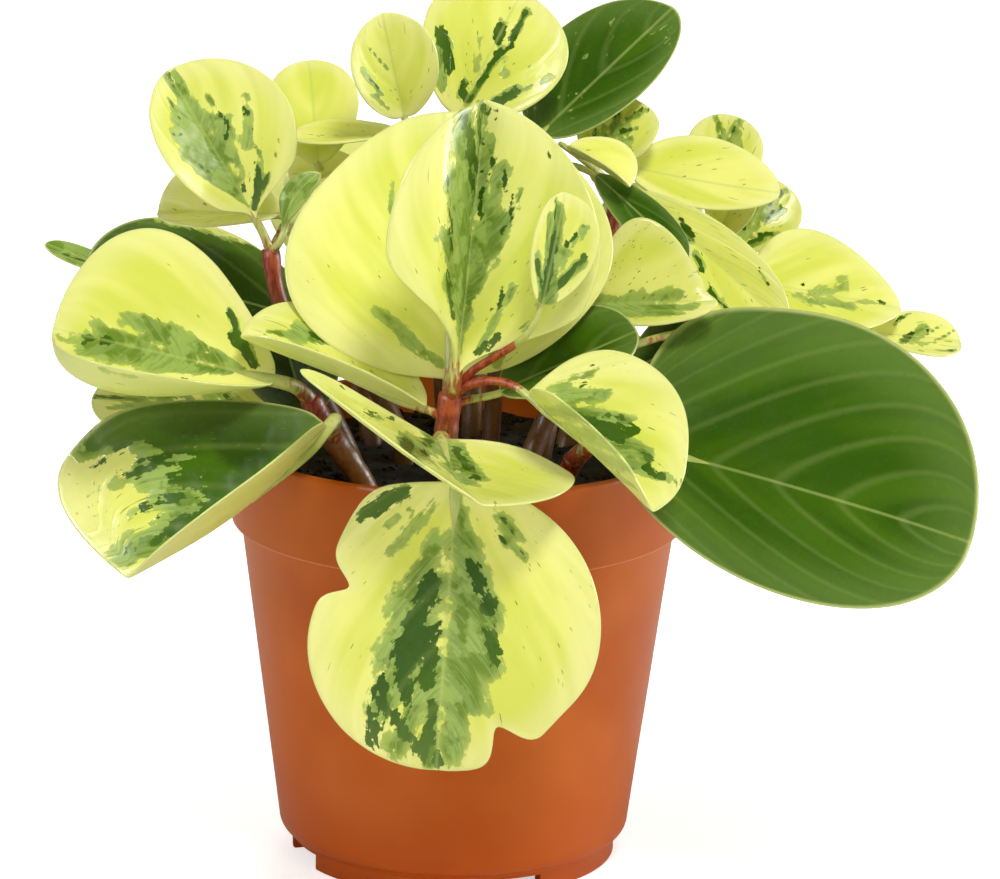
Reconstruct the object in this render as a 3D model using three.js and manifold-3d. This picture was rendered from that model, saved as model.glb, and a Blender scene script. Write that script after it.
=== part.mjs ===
// Variegated baby rubber plant (Peperomia obtusifolia) in a plastic nursery pot.
// Millimetres, +Z up. The plant is set out from the pot's axis and the pot stands on z = 0.
import * as THREE from "three";
import { mergeVertices } from "three/addons/utils/BufferGeometryUtils.js";
import Module from "manifold-3d";

const wasm = await Module();
wasm.setup();

// ---------------------------------------------------------------- driving dimensions
const POT_HEIGHT = 111;
const RIM_RADIUS = 60;
const COLLAR_HEIGHT = 23;
const COLLAR_LOW_RADIUS = 57.7;
const WALL_TOP_RADIUS = 55.3;
const WALL_LOW_RADIUS = 45;
const WALL = 1.6;
const FOOT_RADIUS = 41.5;
const FOOT_HEIGHT = 5;
const FOOT_WIDTH = 4;
const FLOOR = 2.2;
const CORNER = 5;
const NOTCHES = 4;
const NOTCH_ANGLE = 26;
const FIRST_NOTCH = 20;
const DRAIN_HOLES = 6;
const DRAIN_RADIUS = 4;
const DRAIN_CIRCLE = 26;

const SOIL_TOP = 102;
const SOIL_LUMP = 1.2;
const CLEARANCE = 0.5;
const STEM_DEPTH = 14;

const BLADE = 1.0;
const PETIOLE_RADIUS = 1.7;
const BROAD = 0.12;
const TAPER = 0.25;
const NECK = 0.02;
const NECK_WIDTH = 0.1;
const STALK_STARTS = [0.5, 0.6, 0.7, 0.8, 0.9, 0.97];
const STALK_PULL = 0.35;
const STALK_FOOT = 1.15;
const STALK_END = 0.4;

// ---------------------------------------------------------------- stems and leaves
// A stem is a row of points on its axis, from below the soil up to its last node, with the
// radius at its foot and at its end. A leaf is one row: name, base of the blade, tip, the way
// its upper face looks, half widths, folds up from the midrib and cupping of the two halves
// (left half first, seen from the base with the face up; degrees), and curl along the midrib.
const PLANT = [
  {
    node: "front_stem",
    axis: [[0, -36, 88], [-1, -38, 104], [-3, -43, 118], [-2, -44, 132]],
    radii: [3.4, 2.6],
    leaves: [
      ["centre_tall", [-1, -47, 136], [5, -45, 206], [0.35, -0.9, 0.2], [32, 34], [62, 40], [-75, -14], 0],
      ["centre_round", [-2, -40, 134], [-5, -10, 196], [0, -0.75, 0.6], [41, 42], [8, 8], [6, 6], 8],
      ["centre_small", [20, -58, 158], [25, -60, 187], [0.1, -1, 0.1], [6.5, 11], [25, 10], [0, 0], 0],
      ["apron", [-4, -50, 121], [6, -92, 117], [0.3, -0.45, 0.85], [29, 51], [8, 22], [10, 8], 25],
      ["apron_hanging", [0, -66, 116], [-4, -68, 42], [0, -1, 0.1], [38, 35], [6, 6], [-6, -6], -20],
      ["right_front", [18, -58, 135], [47, -83, 114], [0.2, -0.85, 0.5], [26, 13], [4, 86], [10, 6], -10],
      ["left_front", [-7.6, -44, 128], [-54, -46, 145.8], [0.1, -0.2, 1], [9, 18], [44, 40], [10, -15], 0],
      ["glossy_low", [10, -42, 132], [44, -38, 147], [-0.3, -0.6, 0.7], [13, 14], [20, 20], [0, 0], 0],
    ],
  },
  {
    node: "left_stem",
    axis: [[-21, -32, 88], [-23, -33, 104], [-31, -33, 117], [-37, -32, 127]],
    radii: [3.6, 2.6],
    leaves: [
      ["left_lipped", [-45, -42, 134], [-100, -45, 147], [0.1, -0.8, 0.6], [31, 32], [-10, 0], [130, 14], 0],
      ["left_low", [-32, -46, 124], [-78, -63, 90], [-0.45, -0.85, 0.25], [26, 36], [79, 0], [0, 6], 0],
      ["left_inner", [-38, -19, 118.5], [-46, -22, 147], [-0.2, -0.9, 0.2], [13, 14], [15, 15], [0, 0], 0],
      ["left_under", [-45, -20, 116], [-92, -8, 122], [0, -0.4, 0.9], [20, 20], [12, 12], [0, 0], 0],
    ],
  },
  {
    node: "upper_left_stem",
    axis: [[-24, -16, 88], [-26, -16, 104], [-38, -13, 130], [-46, -11, 148], [-48, -11, 160]],
    radii: [3.0, 2.0],
    leaves: [
      ["upper_left", [-51.5, -12, 167.5], [-74, -16, 206], [0.3, -0.95, 0.1], [15, 23], [22, 12], [10, 6], 0],
      ["bud_left", [-45.2, -14, 164], [-35.5, -14, 180.5], [-0.6, -0.8, 0.2], [4, 4], [20, 20], [0, 0], 0],
      ["left_flat", [-46, -2, 167], [-77, 2, 166], [0, -0.4, 0.9], [12, 15], [20, 30], [0, 0], 0],
    ],
  },
  {
    node: "back_left_stem",
    axis: [[-12, 2, 88], [-14, 4, 104], [-26, 10, 132], [-30, 14, 158], [-29, 15, 172]],
    radii: [3.0, 2.0],
    leaves: [
      ["left_dark", [-36, 10, 136], [-96, 18, 150], [0, -0.7, 0.7], [25, 18], [10, 6], [0, 12], 0],
      ["left_tip", [-84, 22, 144], [-107, 20, 153], [0, -0.6, 0.8], [3.5, 3.5], [10, 10], [0, 0], 0],
      ["upper_left_round", [-37, 16, 176], [-40, 26, 201], [0.1, -1, 0.2], [12, 12], [6, 6], [10, 10], 0],
      ["upper_left_flat", [-16, 10, 186], [-44, 8, 184], [0, -0.05, 1], [12, 12], [10, 10], [0, 0], 10],
      ["upper_left_low", [-26, 16, 176], [-44, 12, 172], [0, -0.15, 1], [10, 12], [15, 15], [0, 0], 0],
    ],
  },
  {
    node: "back_stem",
    axis: [[-3, 14, 88], [-3, 14, 104], [-6, 12, 140], [-7, 8, 172], [-7, 6, 182]],
    radii: [3.0, 2.0],
    leaves: [
      ["top_small", [-15, 4, 191], [-21, -2, 219], [0.1, -1, 0.2], [13, 13], [20, 20], [20, 20], 0],
      ["top_large", [-2, 10, 190], [14, 20, 221], [0.1, -1, 0.25], [21, 20], [10, 10], [20, 20], 0],
      ["behind_high", [-5, 22, 160], [0, 52, 174], [0, 0.2, 1], [17, 17], [14, 14], [8, 8], -10],
      ["behind_left", [-14, 22, 150], [-46, 40, 152], [-0.2, 0.3, 1], [17, 17], [14, 14], [8, 8], -10],
    ],
  },
  {
    node: "green_shoot",
    axis: [[8, 10, 88], [8, 10, 104], [10, 12, 140], [11, 13, 170]],
    radii: [2.6, 1.9],
    leaves: [
      ["top_dark", [19, 15, 185], [53, 38, 214], [-0.3, -0.6, 0.5], [22, 11.5], [-6, -12], [0, 0], 0],
      ["green_behind", [16, 26, 152], [34, 52, 152], [0.1, 0.5, 0.9], [18, 18], [12, 12], [6, 6], -10],
      ["right_wavy", [33, 6, 177], [57, 0, 156], [0.3, -0.8, 0.5], [6, 8], [10, 20], [0, 0], -10],
    ],
  },
  {
    node: "right_stem",
    axis: [[20, 6, 88], [21, 7, 104], [29, 14, 136], [38, 20, 160], [40, 22, 168]],
    radii: [3.2, 2.2],
    leaves: [
      ["right_cup", [33, 20, 176], [44, 27, 192], [-0.4, -0.9, 0.3], [12, 14], [15, 15], [20, 20], 0],
      ["right_folded", [42, 20, 176], [80.5, 14, 171], [0, -0.55, 0.85], [14, 9], [10, -10], [10, 10], 10],
      ["right_back", [64, 46, 160], [69, 56, 182.5], [-0.1, -1, 0.2], [10, 11], [8, 8], [0, 0], 0],
      ["right_edge", [72, 48, 148], [81, 54, 166], [-0.3, -0.9, 0.3], [14, 12], [15, 5], [0, 0], 0],
      ["right_pale", [66, 30, 156], [72, 28, 174], [-0.3, -0.9, 0.3], [8, 8], [20, 20], [0, 0], 0],
      ["right_speckled", [44, 12, 171], [82, 0, 140], [0.3, -0.9, 0.2], [9, 17], [8, 8], [6, 6], -12],
      ["right_yellow", [26, 6, 184], [42, 0, 175], [0.2, -0.5, 0.9], [9, 8], [25, 50], [0, 0], -12],
    ],
  },
  {
    node: "right_low_stem",
    axis: [[16, -14, 88], [17, -14, 104], [26, -10, 126], [34, -6, 140]],
    radii: [3.0, 2.2],
    leaves: [
      ["right_tipped", [33, -21, 149.6], [64, -34, 154], [-0.1, -0.85, 0.5], [21, 8.5], [5, 25], [12, 10], 0],
      ["right_far", [73, 18, 147], [113, 26, 138.5], [0, -0.7, 0.7], [17, 16], [10, 20], [8, 0], 0],
      ["right_striped", [103, 26, 132], [129, 30, 129], [0, -0.45, 0.9], [8, 13], [20, 20], [10, 0], 0],
      ["right_under", [43, 6, 126], [68, 10, 137], [0.1, -0.8, 0.5], [10, 11], [10, 10], [0, 0], 0],
    ],
  },
  {
    node: "green_right_stem",
    axis: [[25, -28, 88], [26, -29, 104], [29, -33, 113]],
    radii: [3.0, 2.4],
    leaves: [
      ["big_green", [40, -42, 120], [127, -55, 99], [0.1, -0.9, 0.5], [45.5, 29], [4, 14], [-8, -10], -16],
    ],
  },
  {
    node: "rear_left_stem",
    axis: [[-22, 22, 88], [-23, 23, 104], [-29, 38, 126]],
    radii: [3.2, 2.4],
    leaves: [
      ["rear_left_side", [-36, 46, 132], [-82, 64, 138], [-0.2, 0.5, 0.85], [24, 24], [14, 14], [8, 8], -10],
      ["rear_left_wide", [-32, 52, 128], [-46, 96, 124], [-0.1, 0.6, 0.8], [25, 25], [12, 12], [8, 8], -12],
      ["rear_left_high", [-26, 46, 140], [-42, 64, 174], [-0.2, 0.9, 0.3], [19, 19], [16, 16], [10, 10], 0],
      ["rear_left_low", [-38, 42, 118], [-76, 60, 90], [-0.6, 0.5, 0.6], [22, 22], [20, 20], [0, 0], -10],
    ],
  },
  {
    node: "rear_stem",
    axis: [[3, 30, 88], [3, 31, 104], [3, 46, 128]],
    radii: [3.2, 2.4],
    leaves: [
      ["rear_high", [3, 54, 142], [4, 80, 172], [0, 0.8, 0.6], [22, 22], [12, 12], [10, 10], 0],
      ["rear_hanging", [0, 60, 130], [-6, 92, 92], [0, 0.9, 0.5], [26, 26], [10, 10], [0, 0], -20],
      ["rear_right_wide", [11, 56, 132], [36, 94, 126], [0.2, 0.5, 0.9], [23, 23], [14, 14], [8, 8], -10],
    ],
  },
  {
    node: "rear_right_stem",
    axis: [[27, 20, 88], [28, 21, 104], [38, 36, 122]],
    radii: [3.2, 2.4],
    leaves: [
      ["rear_right_side", [48, 46, 132], [88, 62, 134], [0.2, 0.4, 0.9], [22, 22], [14, 14], [8, 8], -10],
      ["rear_right_low", [46, 48, 124], [76, 76, 98], [0.5, 0.7, 0.6], [24, 24], [16, 16], [0, 0], -12],
      ["rear_right_high", [46, 46, 136], [54, 66, 162], [0.1, 0.9, 0.4], [17, 17], [14, 14], [10, 10], 0],
      ["rear_right_flat", [50, 36, 122], [92, 42, 114], [0.2, 0.1, 1], [20, 20], [16, 16], [0, 0], -10],
    ],
  },
];

// What a few leaves have of their own, for both halves or as [left, right]: how much broader
// the tip end is, how narrow the base, how long a neck it has, how far a half is rolled as one
// piece (1) and not less towards its ends (0), how far the midrib sways to the left, and bites
// out of the margin, or lobes if negative (angle from the tip, depth, width; degrees).
const SHAPES = {
  centre_tall: { broad: [0, -0.1], neck: [0.5, 0.3], bites: [[35, -0.08, 25]] },
  centre_round: { broad: -0.15, taper: 0, bites: [[50, 0.07, 30], [-130, 0.06, 30]] },
  left_low: { broad: [0, 0.5], taper: 0, sway: 3.5, bites: [[-20, -0.22, 22]] },
  left_lipped: { broad: [0.5, 0.15], taper: [0.5, 0.5], rolled: [0.9, 0] },
  upper_left: { broad: [0.12, 0], taper: [0.5, 0.2], neck: [0.2, 0.2] },
  bud_left: { neck: 0.45, sway: 2.5 },
  big_green: { broad: [0, 0.1], taper: [0, 0.15], bites: [[138, -0.13, 22]] },
  apron: { broad: 0, taper: 0.1, bites: [[150, -0.12, 30]] },
  apron_hanging: {
    broad: -0.03,
    taper: 0,
    bites: [[-110, 0.2, 6], [-108, 0.09, 22], [31, 0.27, 7], [54, 0.05, 16], [-148, -0.06, 12]],
  },
  right_tipped: { broad: [-0.55, -0.1], bites: [[42, 0.16, 22], [18, 0.16, 12]] },
  right_far: { broad: -0.45 },
  right_folded: { broad: -0.2 },
  right_front: { broad: [-0.05, 0], taper: 0, bites: [[150, -0.18, 32], [15, -0.1, 20]] },
  top_dark: { broad: 0, taper: 0.1 },
};

// ---------------------------------------------------------------- colours
const TERRACOTTA = { color: 0xc4602c, roughness: 0.42, metalness: 0 };
const EARTH = { color: 0x2b1d14, roughness: 1, metalness: 0 };
const VARIEGATED = { color: 0xc9d45a, roughness: 0.35, metalness: 0 };
const DARK_GREEN = { color: 0x2f5a22, roughness: 0.32, metalness: 0 };
const GREEN_NODES = ["green_shoot", "green_right_stem"];

// ---------------------------------------------------------------- solids
const vec = (p) => new THREE.Vector3(...p);
const rad = THREE.MathUtils.degToRad;
const pair = (value) => (Array.isArray(value) ? value : [value, value]);

function toSolid(geometry) {
  const plain = geometry.clone();
  plain.deleteAttribute("normal");
  plain.deleteAttribute("uv");
  const merged = mergeVertices(plain, 1e-4);
  const vertProperties = new Float32Array(merged.attributes.position.array);
  const triVerts = new Uint32Array(merged.index.array);
  return new wasm.Manifold(new wasm.Mesh({ numProp: 3, vertProperties, triVerts }));
}

function toMesh(name, solid, look) {
  const { vertProperties, triVerts } = solid.getMesh();
  const geometry = new THREE.BufferGeometry();
  geometry.setAttribute("position", new THREE.BufferAttribute(vertProperties, 3));
  geometry.setIndex(new THREE.BufferAttribute(triVerts, 1));
  geometry.computeVertexNormals();
  const mesh = new THREE.Mesh(geometry, new THREE.MeshStandardMaterial(look));
  mesh.name = name;
  return mesh;
}

// A round bar that follows a curve: a closed cylinder, bent along it and thinned to its end.
function bar(curve, footRadius, endRadius, sides, steps) {
  const geometry = new THREE.CylinderGeometry(1, 1, 1, sides, steps);
  const frames = curve.computeFrenetFrames(steps, false);
  const position = geometry.attributes.position;
  for (let i = 0; i < position.count; i++) {
    const along = 0.5 - position.getY(i);
    const step = Math.round(along * steps);
    const radius = THREE.MathUtils.lerp(footRadius, endRadius, along);
    const point = curve.getPointAt(along);
    point.addScaledVector(frames.normals[step], radius * position.getX(i));
    point.addScaledVector(frames.binormals[step], radius * position.getZ(i));
    position.setXYZ(i, point.x, point.y, point.z);
  }
  return toSolid(geometry);
}

// ---------------------------------------------------------------- leaves
// The middle surface of a blade. u runs from the base (-1) to the tip (1), v across it.
function bladeSurface([name, base, tip, face, halves, folds, cups, curlDegrees]) {
  const plain = { broad: BROAD, taper: TAPER, neck: NECK, rolled: 0, sway: 0, bites: [] };
  const shape = { ...plain, ...SHAPES[name] };
  const [broad, taper, neck, rolled] = [shape.broad, shape.taper, shape.neck, shape.rolled].map(pair);
  const start = vec(base);
  const chord = vec(tip).sub(start);
  const length = chord.length();
  const ahead = chord.clone().normalize();
  const up = vec(face);
  up.addScaledVector(ahead, -up.dot(ahead)).normalize();
  const side = new THREE.Vector3().crossVectors(up, ahead);
  const curl = rad(curlDegrees || 0.1);
  const arc = (length * curl) / 2 / Math.sin(curl / 2);

  return (u, v) => {
    let x = u * Math.sqrt(1 - (v * v) / 2);
    let y = v * Math.sqrt(1 - (u * u) / 2);
    const half = y >= 0 ? 0 : 1;
    const opening = THREE.MathUtils.smoothstep((1 + x) / 2, 0, neck[half]);
    const angle = THREE.MathUtils.radToDeg(Math.atan2(y, x));
    for (const [place, depth, width] of shape.bites) {
      const away = THREE.MathUtils.euclideanModulo(angle - place + 180, 360) - 180;
      const keep = 1 - depth * Math.exp(-((away / width) ** 2)) * (x * x + y * y);
      x *= keep;
      y *= keep;
    }
    const along = (1 + x) / 2;
    const narrowing = (1 - taper[half] * (1 - along) ** 3) * (NECK_WIDTH + (1 - NECK_WIDTH) * opening);
    const outline = (1 + broad[half] * x) * narrowing;
    const reach = Math.abs(y) * outline;
    const scale = Math.max(Math.sqrt(Math.max(1 - x * x, 0)) * outline, 0.001) ** rolled[half];
    const fold = rad(folds[half]);
    const cup = rad(cups[half] || 0.1);
    const rolling = fold + (cup * reach) / scale;
    const lateral = (halves[half] * scale * (Math.sin(rolling) - Math.sin(fold))) / cup;
    const height = (halves[half] * scale * (Math.cos(fold) - Math.cos(rolling))) / cup;
    const turn = curl * (along - 0.5);
    const forward = (arc * (Math.sin(turn) + Math.sin(curl / 2))) / curl - Math.sin(turn) * height;
    const lift = (arc * (Math.cos(curl / 2) - Math.cos(turn))) / curl + Math.cos(turn) * height;
    const sway = shape.sway * Math.sin(Math.PI * along);
    return start
      .clone()
      .addScaledVector(ahead, forward)
      .addScaledVector(side, (half === 0 ? lateral : -lateral) + sway)
      .addScaledVector(up, lift);
  };
}

function surfaceNormal(surface, u, v) {
  const e = 0.02;
  const [u0, u1] = [Math.max(u - e, -1), Math.min(u + e, 1)];
  const [v0, v1] = [Math.max(v - e, -1), Math.min(v + e, 1)];
  const along = surface(u1, v * 0.98).sub(surface(u0, v * 0.98));
  const across = surface(u * 0.98, v1).sub(surface(u * 0.98, v0));
  return along.cross(across).normalize();
}

// A blade is a grid of points on the surface, twice: half its thickness above and below it.
function bladeSolid(row) {
  const surface = bladeSurface(row);
  const size = vec(row[2]).distanceTo(vec(row[1])) + row[4][0] + row[4][1];
  const columns = size > 100 ? 8 : size > 62 ? 6 : 4;
  const rows = size > 100 ? 6 : 4;
  const points = [];
  for (const level of [0.5, -0.5]) {
    for (let i = 0; i <= columns; i++) {
      for (let j = 0; j <= rows; j++) {
        const [u, v] = [(2 * i) / columns - 1, (2 * j) / rows - 1];
        const normal = surfaceNormal(surface, u, v);
        points.push(...surface(u, v).addScaledVector(normal, level * BLADE).toArray());
      }
    }
  }
  const below = (columns + 1) * (rows + 1);
  const at = (i, j) => i * (rows + 1) + j;
  const faces = [];
  const square = (a, b, c, d) => faces.push(a, b, c, a, c, d);
  for (let i = 0; i < columns; i++) {
    for (let j = 0; j < rows; j++) {
      const corners = [at(i, j), at(i + 1, j), at(i + 1, j + 1), at(i, j + 1)];
      if (i < columns / 2 !== j < rows / 2) corners.push(corners.shift());
      const [a, b, c, d] = corners;
      square(a, b, c, d);
      square(a + below, d + below, c + below, b + below);
    }
  }
  const rim = (a, b) => square(a, a + below, b + below, b);
  for (let i = 0; i < columns; i++) {
    rim(at(i, 0), at(i + 1, 0));
    rim(at(i + 1, rows), at(i, rows));
  }
  for (let j = 0; j < rows; j++) {
    rim(at(0, j + 1), at(0, j));
    rim(at(columns, j), at(columns, j + 1));
  }
  const geometry = new THREE.BufferGeometry();
  geometry.setAttribute("position", new THREE.Float32BufferAttribute(points, 3));
  geometry.setIndex(faces);
  return toSolid(geometry);
}

// The stalk leaves the stem at its nearest point, meets the blade from behind and runs on
// under it as the thick foot of the midrib.
function petioleSolid(row, stem) {
  const surface = bladeSurface(row);
  const base = surface(-1, 0);
  const entry = surface(-0.94, 0).sub(base).normalize();
  let root = null;
  for (const t of STALK_STARTS) {
    const point = stem.getPointAt(t);
    const below = point.distanceTo(base) + Math.max(0, point.z - base.z + 6);
    if (root === null || below < root.below) root = { point, below, tangent: stem.getTangentAt(t) };
  }
  const gap = root.point.distanceTo(base);
  const outward = base.clone().sub(root.point).normalize().add(root.tangent).normalize();
  const reach = new THREE.CubicBezierCurve3(
    root.point,
    root.point.clone().addScaledVector(outward, gap * STALK_PULL),
    base.clone().addScaledVector(entry, -gap * STALK_PULL),
    base.clone().addScaledVector(surfaceNormal(surface, -0.9, 0), -0.4),
  );
  const points = [0, 0.25, 0.5, 0.75, 1].map((t) => reach.getPoint(t));
  points.push(surface(-0.6, 0).addScaledVector(surfaceNormal(surface, -0.6, 0), -0.3));
  const size = (row[4][0] + row[4][1]) / 60;
  const radius = PETIOLE_RADIUS * THREE.MathUtils.clamp(size, 0.6, 1.2);
  return bar(new THREE.CatmullRomCurve3(points), radius * STALK_FOOT, radius * STALK_END, 5, 4);
}

// ---------------------------------------------------------------- leafy stems, pot and soil
const stemCurve = (stem) => new THREE.CatmullRomCurve3(stem.axis.map(vec));

function leafyStem(stem) {
  const curve = stemCurve(stem);
  let solid = bar(curve, stem.radii[0], stem.radii[1], 8, 6);
  for (const row of stem.leaves) {
    solid = solid.add(petioleSolid(row, curve));
    solid = solid.add(bladeSolid(row));
  }
  return solid;
}

// a profile of [radius, height], turned about the upright axis
function turned(profile, sides) {
  const points = profile.map(([r, z]) => new THREE.Vector2(r, z));
  return new THREE.LatheGeometry(points, sides).rotateX(Math.PI / 2);
}

const lowEdge = POT_HEIGHT - COLLAR_HEIGHT;
const insideTop = WALL_TOP_RADIUS - WALL;
const insideLow = WALL_LOW_RADIUS - WALL;
const insideFloor = FOOT_HEIGHT + FLOOR;

// radius of the inner wall at a height, below the collar
const innerRadius = (z) =>
  THREE.MathUtils.mapLinear(z, insideFloor + CORNER, lowEdge, insideLow, insideTop);

function potSolid() {
  const wallFoot = FOOT_HEIGHT + CORNER;
  const shell = turned(
    [
      [0, FOOT_HEIGHT],
      [FOOT_RADIUS - FOOT_WIDTH, FOOT_HEIGHT],
      [FOOT_RADIUS - FOOT_WIDTH, 0],
      [FOOT_RADIUS - 0.8, 0],
      [FOOT_RADIUS, 0.8],
      [FOOT_RADIUS, FOOT_HEIGHT],
      [WALL_LOW_RADIUS - 2, FOOT_HEIGHT + 1],
      [WALL_LOW_RADIUS, wallFoot],
      [WALL_TOP_RADIUS, lowEdge],
      [COLLAR_LOW_RADIUS, lowEdge],
      [RIM_RADIUS - 0.3, POT_HEIGHT - 1.2],
      [RIM_RADIUS - 0.8, POT_HEIGHT],
      [RIM_RADIUS - WALL - 0.4, POT_HEIGHT],
      [COLLAR_LOW_RADIUS - WALL, lowEdge + 2],
      [insideTop, lowEdge + 2 - WALL],
      [insideLow, insideFloor + CORNER],
      [insideLow - 3, insideFloor],
      [0, insideFloor],
    ],
    40,
  );
  let pot = toSolid(shell);
  const hole = new THREE.CylinderGeometry(DRAIN_RADIUS, DRAIN_RADIUS, 4 * FLOOR, 12).rotateX(Math.PI / 2);
  for (let i = 0; i < DRAIN_HOLES; i++) {
    const turn = rad((i * 360) / DRAIN_HOLES);
    const spot = [DRAIN_CIRCLE * Math.cos(turn), DRAIN_CIRCLE * Math.sin(turn), FOOT_HEIGHT + FLOOR / 2];
    pot = pot.subtract(toSolid(hole.clone().translate(...spot)));
  }
  const width = 2 * FOOT_RADIUS * Math.sin(rad(NOTCH_ANGLE / 2));
  const notch = new THREE.BoxGeometry(FOOT_RADIUS, width, FOOT_HEIGHT).translate(FOOT_RADIUS, 0, 0);
  for (let i = 0; i < NOTCHES; i++) {
    const turn = rad(FIRST_NOTCH - 90 + (i * 360) / NOTCHES);
    pot = pot.subtract(toSolid(notch.clone().rotateZ(turn).translate(0, 0, FOOT_HEIGHT / 2 - 0.8)));
  }
  return pot;
}

function soilSolid() {
  const low = insideFloor + CLEARANCE;
  const neck = lowEdge + 2 - WALL;
  const collarInside = COLLAR_LOW_RADIUS - WALL;
  const edge = [
    [0, low],
    [insideLow - 3 - CLEARANCE, low],
    [innerRadius(insideFloor + CORNER) - CLEARANCE, insideFloor + CORNER],
    [insideTop - CLEARANCE, neck],
    [collarInside - CLEARANCE, lowEdge + 2 + CLEARANCE],
    [collarInside + 0.6, SOIL_TOP - 1],
  ];
  for (const radius of [40, 20, 0]) edge.push([radius, SOIL_TOP]);
  const heap = turned(edge, 20);
  const position = heap.attributes.position;
  for (let i = 0; i < position.count; i++) {
    const [x, y, z] = [position.getX(i), position.getY(i), position.getZ(i)];
    if (z < SOIL_TOP - 0.5) continue;
    const lump = Math.sin(x / 5.1 + Math.cos(y / 7.3)) * Math.cos(y / 4.3 + Math.sin(x / 8.9));
    position.setZ(i, z + SOIL_LUMP * lump);
  }
  let soil = toSolid(heap);
  for (const stem of PLANT) {
    const [foot, radius] = [vec(stem.axis[0]), stem.radii[0] + CLEARANCE];
    foot.z = SOIL_TOP - STEM_DEPTH - CLEARANCE;
    const axis = [foot, ...stem.axis.slice(1).map(vec)];
    soil = soil.subtract(bar(new THREE.CatmullRomCurve3(axis), radius, stem.radii[1] + CLEARANCE, 8, 6));
  }
  return soil;
}

// ---------------------------------------------------------------- assembly
const plant = new THREE.Group();
plant.add(toMesh("pot", potSolid(), TERRACOTTA));
plant.add(toMesh("soil", soilSolid(), EARTH));
for (const stem of PLANT) {
  const look = GREEN_NODES.includes(stem.node) ? DARK_GREEN : VARIEGATED;
  plant.add(toMesh(stem.node, leafyStem(stem), look));
}

// the origin is under the middle of the whole, on the surface that it stands on
const box = new THREE.Box3().setFromObject(plant, true);
const middle = box.getCenter(new THREE.Vector3());
plant.position.set(-middle.x, -middle.y, 0);

export default plant;
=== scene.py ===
# %% [markdown]
# # A potted variegated peperomia
#
# The plant is a small bush of thick, glossy, spoon-shaped leaves, cream-yellow and green, in an
# orange plastic nursery pot. The imported CAD model is loaded first and stays as the frame: every
# piece made below stands where its CAD node stands, in metres, and replaces it.
#
# The pot and the soil are modelled with extrusions and modifiers. The leaves are the main
# thing here. Each one is a flat grid that is bent into its own shape, given a thickness, and
# painted with a few strokes that a material then breaks up into veined, feathered patches.

# %% load the frame
import math
import random

import bmesh
import bpy
import numpy as np
from mathutils import Matrix, Vector


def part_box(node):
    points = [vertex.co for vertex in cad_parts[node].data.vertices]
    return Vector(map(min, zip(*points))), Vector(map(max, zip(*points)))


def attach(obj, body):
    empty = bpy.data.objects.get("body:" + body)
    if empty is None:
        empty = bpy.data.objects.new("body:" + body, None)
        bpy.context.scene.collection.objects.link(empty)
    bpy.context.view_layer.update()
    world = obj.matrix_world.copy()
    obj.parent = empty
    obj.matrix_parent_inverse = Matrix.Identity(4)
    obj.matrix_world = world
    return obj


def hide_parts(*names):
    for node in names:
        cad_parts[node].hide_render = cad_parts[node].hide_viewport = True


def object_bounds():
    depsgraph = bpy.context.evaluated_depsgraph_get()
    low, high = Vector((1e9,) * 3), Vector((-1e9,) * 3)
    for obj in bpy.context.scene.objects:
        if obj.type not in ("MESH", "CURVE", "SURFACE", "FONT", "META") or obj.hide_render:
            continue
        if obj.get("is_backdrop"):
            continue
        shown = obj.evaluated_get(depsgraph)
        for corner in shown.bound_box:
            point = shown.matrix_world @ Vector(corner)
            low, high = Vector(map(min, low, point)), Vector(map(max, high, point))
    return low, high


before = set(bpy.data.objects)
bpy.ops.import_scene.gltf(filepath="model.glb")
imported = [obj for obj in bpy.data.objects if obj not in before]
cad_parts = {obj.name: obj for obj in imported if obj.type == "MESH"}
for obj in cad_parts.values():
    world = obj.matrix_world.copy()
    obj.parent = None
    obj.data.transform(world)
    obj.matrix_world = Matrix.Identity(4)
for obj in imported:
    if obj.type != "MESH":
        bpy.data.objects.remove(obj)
cad_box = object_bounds()
bpy.ops.object.select_all(action="DESELECT")
print("nodes in the frame:", len(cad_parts))

# %% [markdown]
# ## Where things are
#
# The plant was set out from the pot's axis, in millimetres, so it is easiest to keep these
# numbers and turn them into metres of the frame in one place. The pot is round, so the middle of
# its box is its axis.

# %% the pot's axis
pot_low, pot_high = [Vector(corner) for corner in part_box("pot")]
AXIS = (pot_low + pot_high) / 2
AXIS.z = 0


def place(points):
    """Millimetres from the foot of the pot's axis, as metres of the frame."""
    return np.asarray(points, float) / 1000 + np.array(AXIS)


print("pot axis at", [round(value, 4) for value in AXIS], "height", round(pot_high.z, 4))

# %% [markdown]
# ## The camera
#
# The picture was taken from well back, a little above the plant, with the pot upright but the
# camera turned by about a degree. A long lens keeps the pot's sides nearly parallel.

# %% camera
CAMERA_SPOT = (10.4, -1500, 507)
CAMERA_TARGET = (10.4, 0, 108.8)
CAMERA_LENS = 219.5
CAMERA_ROLL = math.radians(1)

bpy.ops.object.camera_add(location=Vector(place(CAMERA_SPOT)))
camera = bpy.context.object
camera.name = "camera"
camera.data.lens = CAMERA_LENS
camera.data.sensor_width = 36
toward = Vector(place(CAMERA_TARGET)) - camera.location
turned = toward.to_track_quat("-Z", "Y").to_matrix() @ Matrix.Rotation(CAMERA_ROLL, 3, "Z")
camera.rotation_euler = turned.to_euler()
bpy.context.scene.camera = camera
print("camera stands", round(toward.length, 3), "m from the plant")
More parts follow.
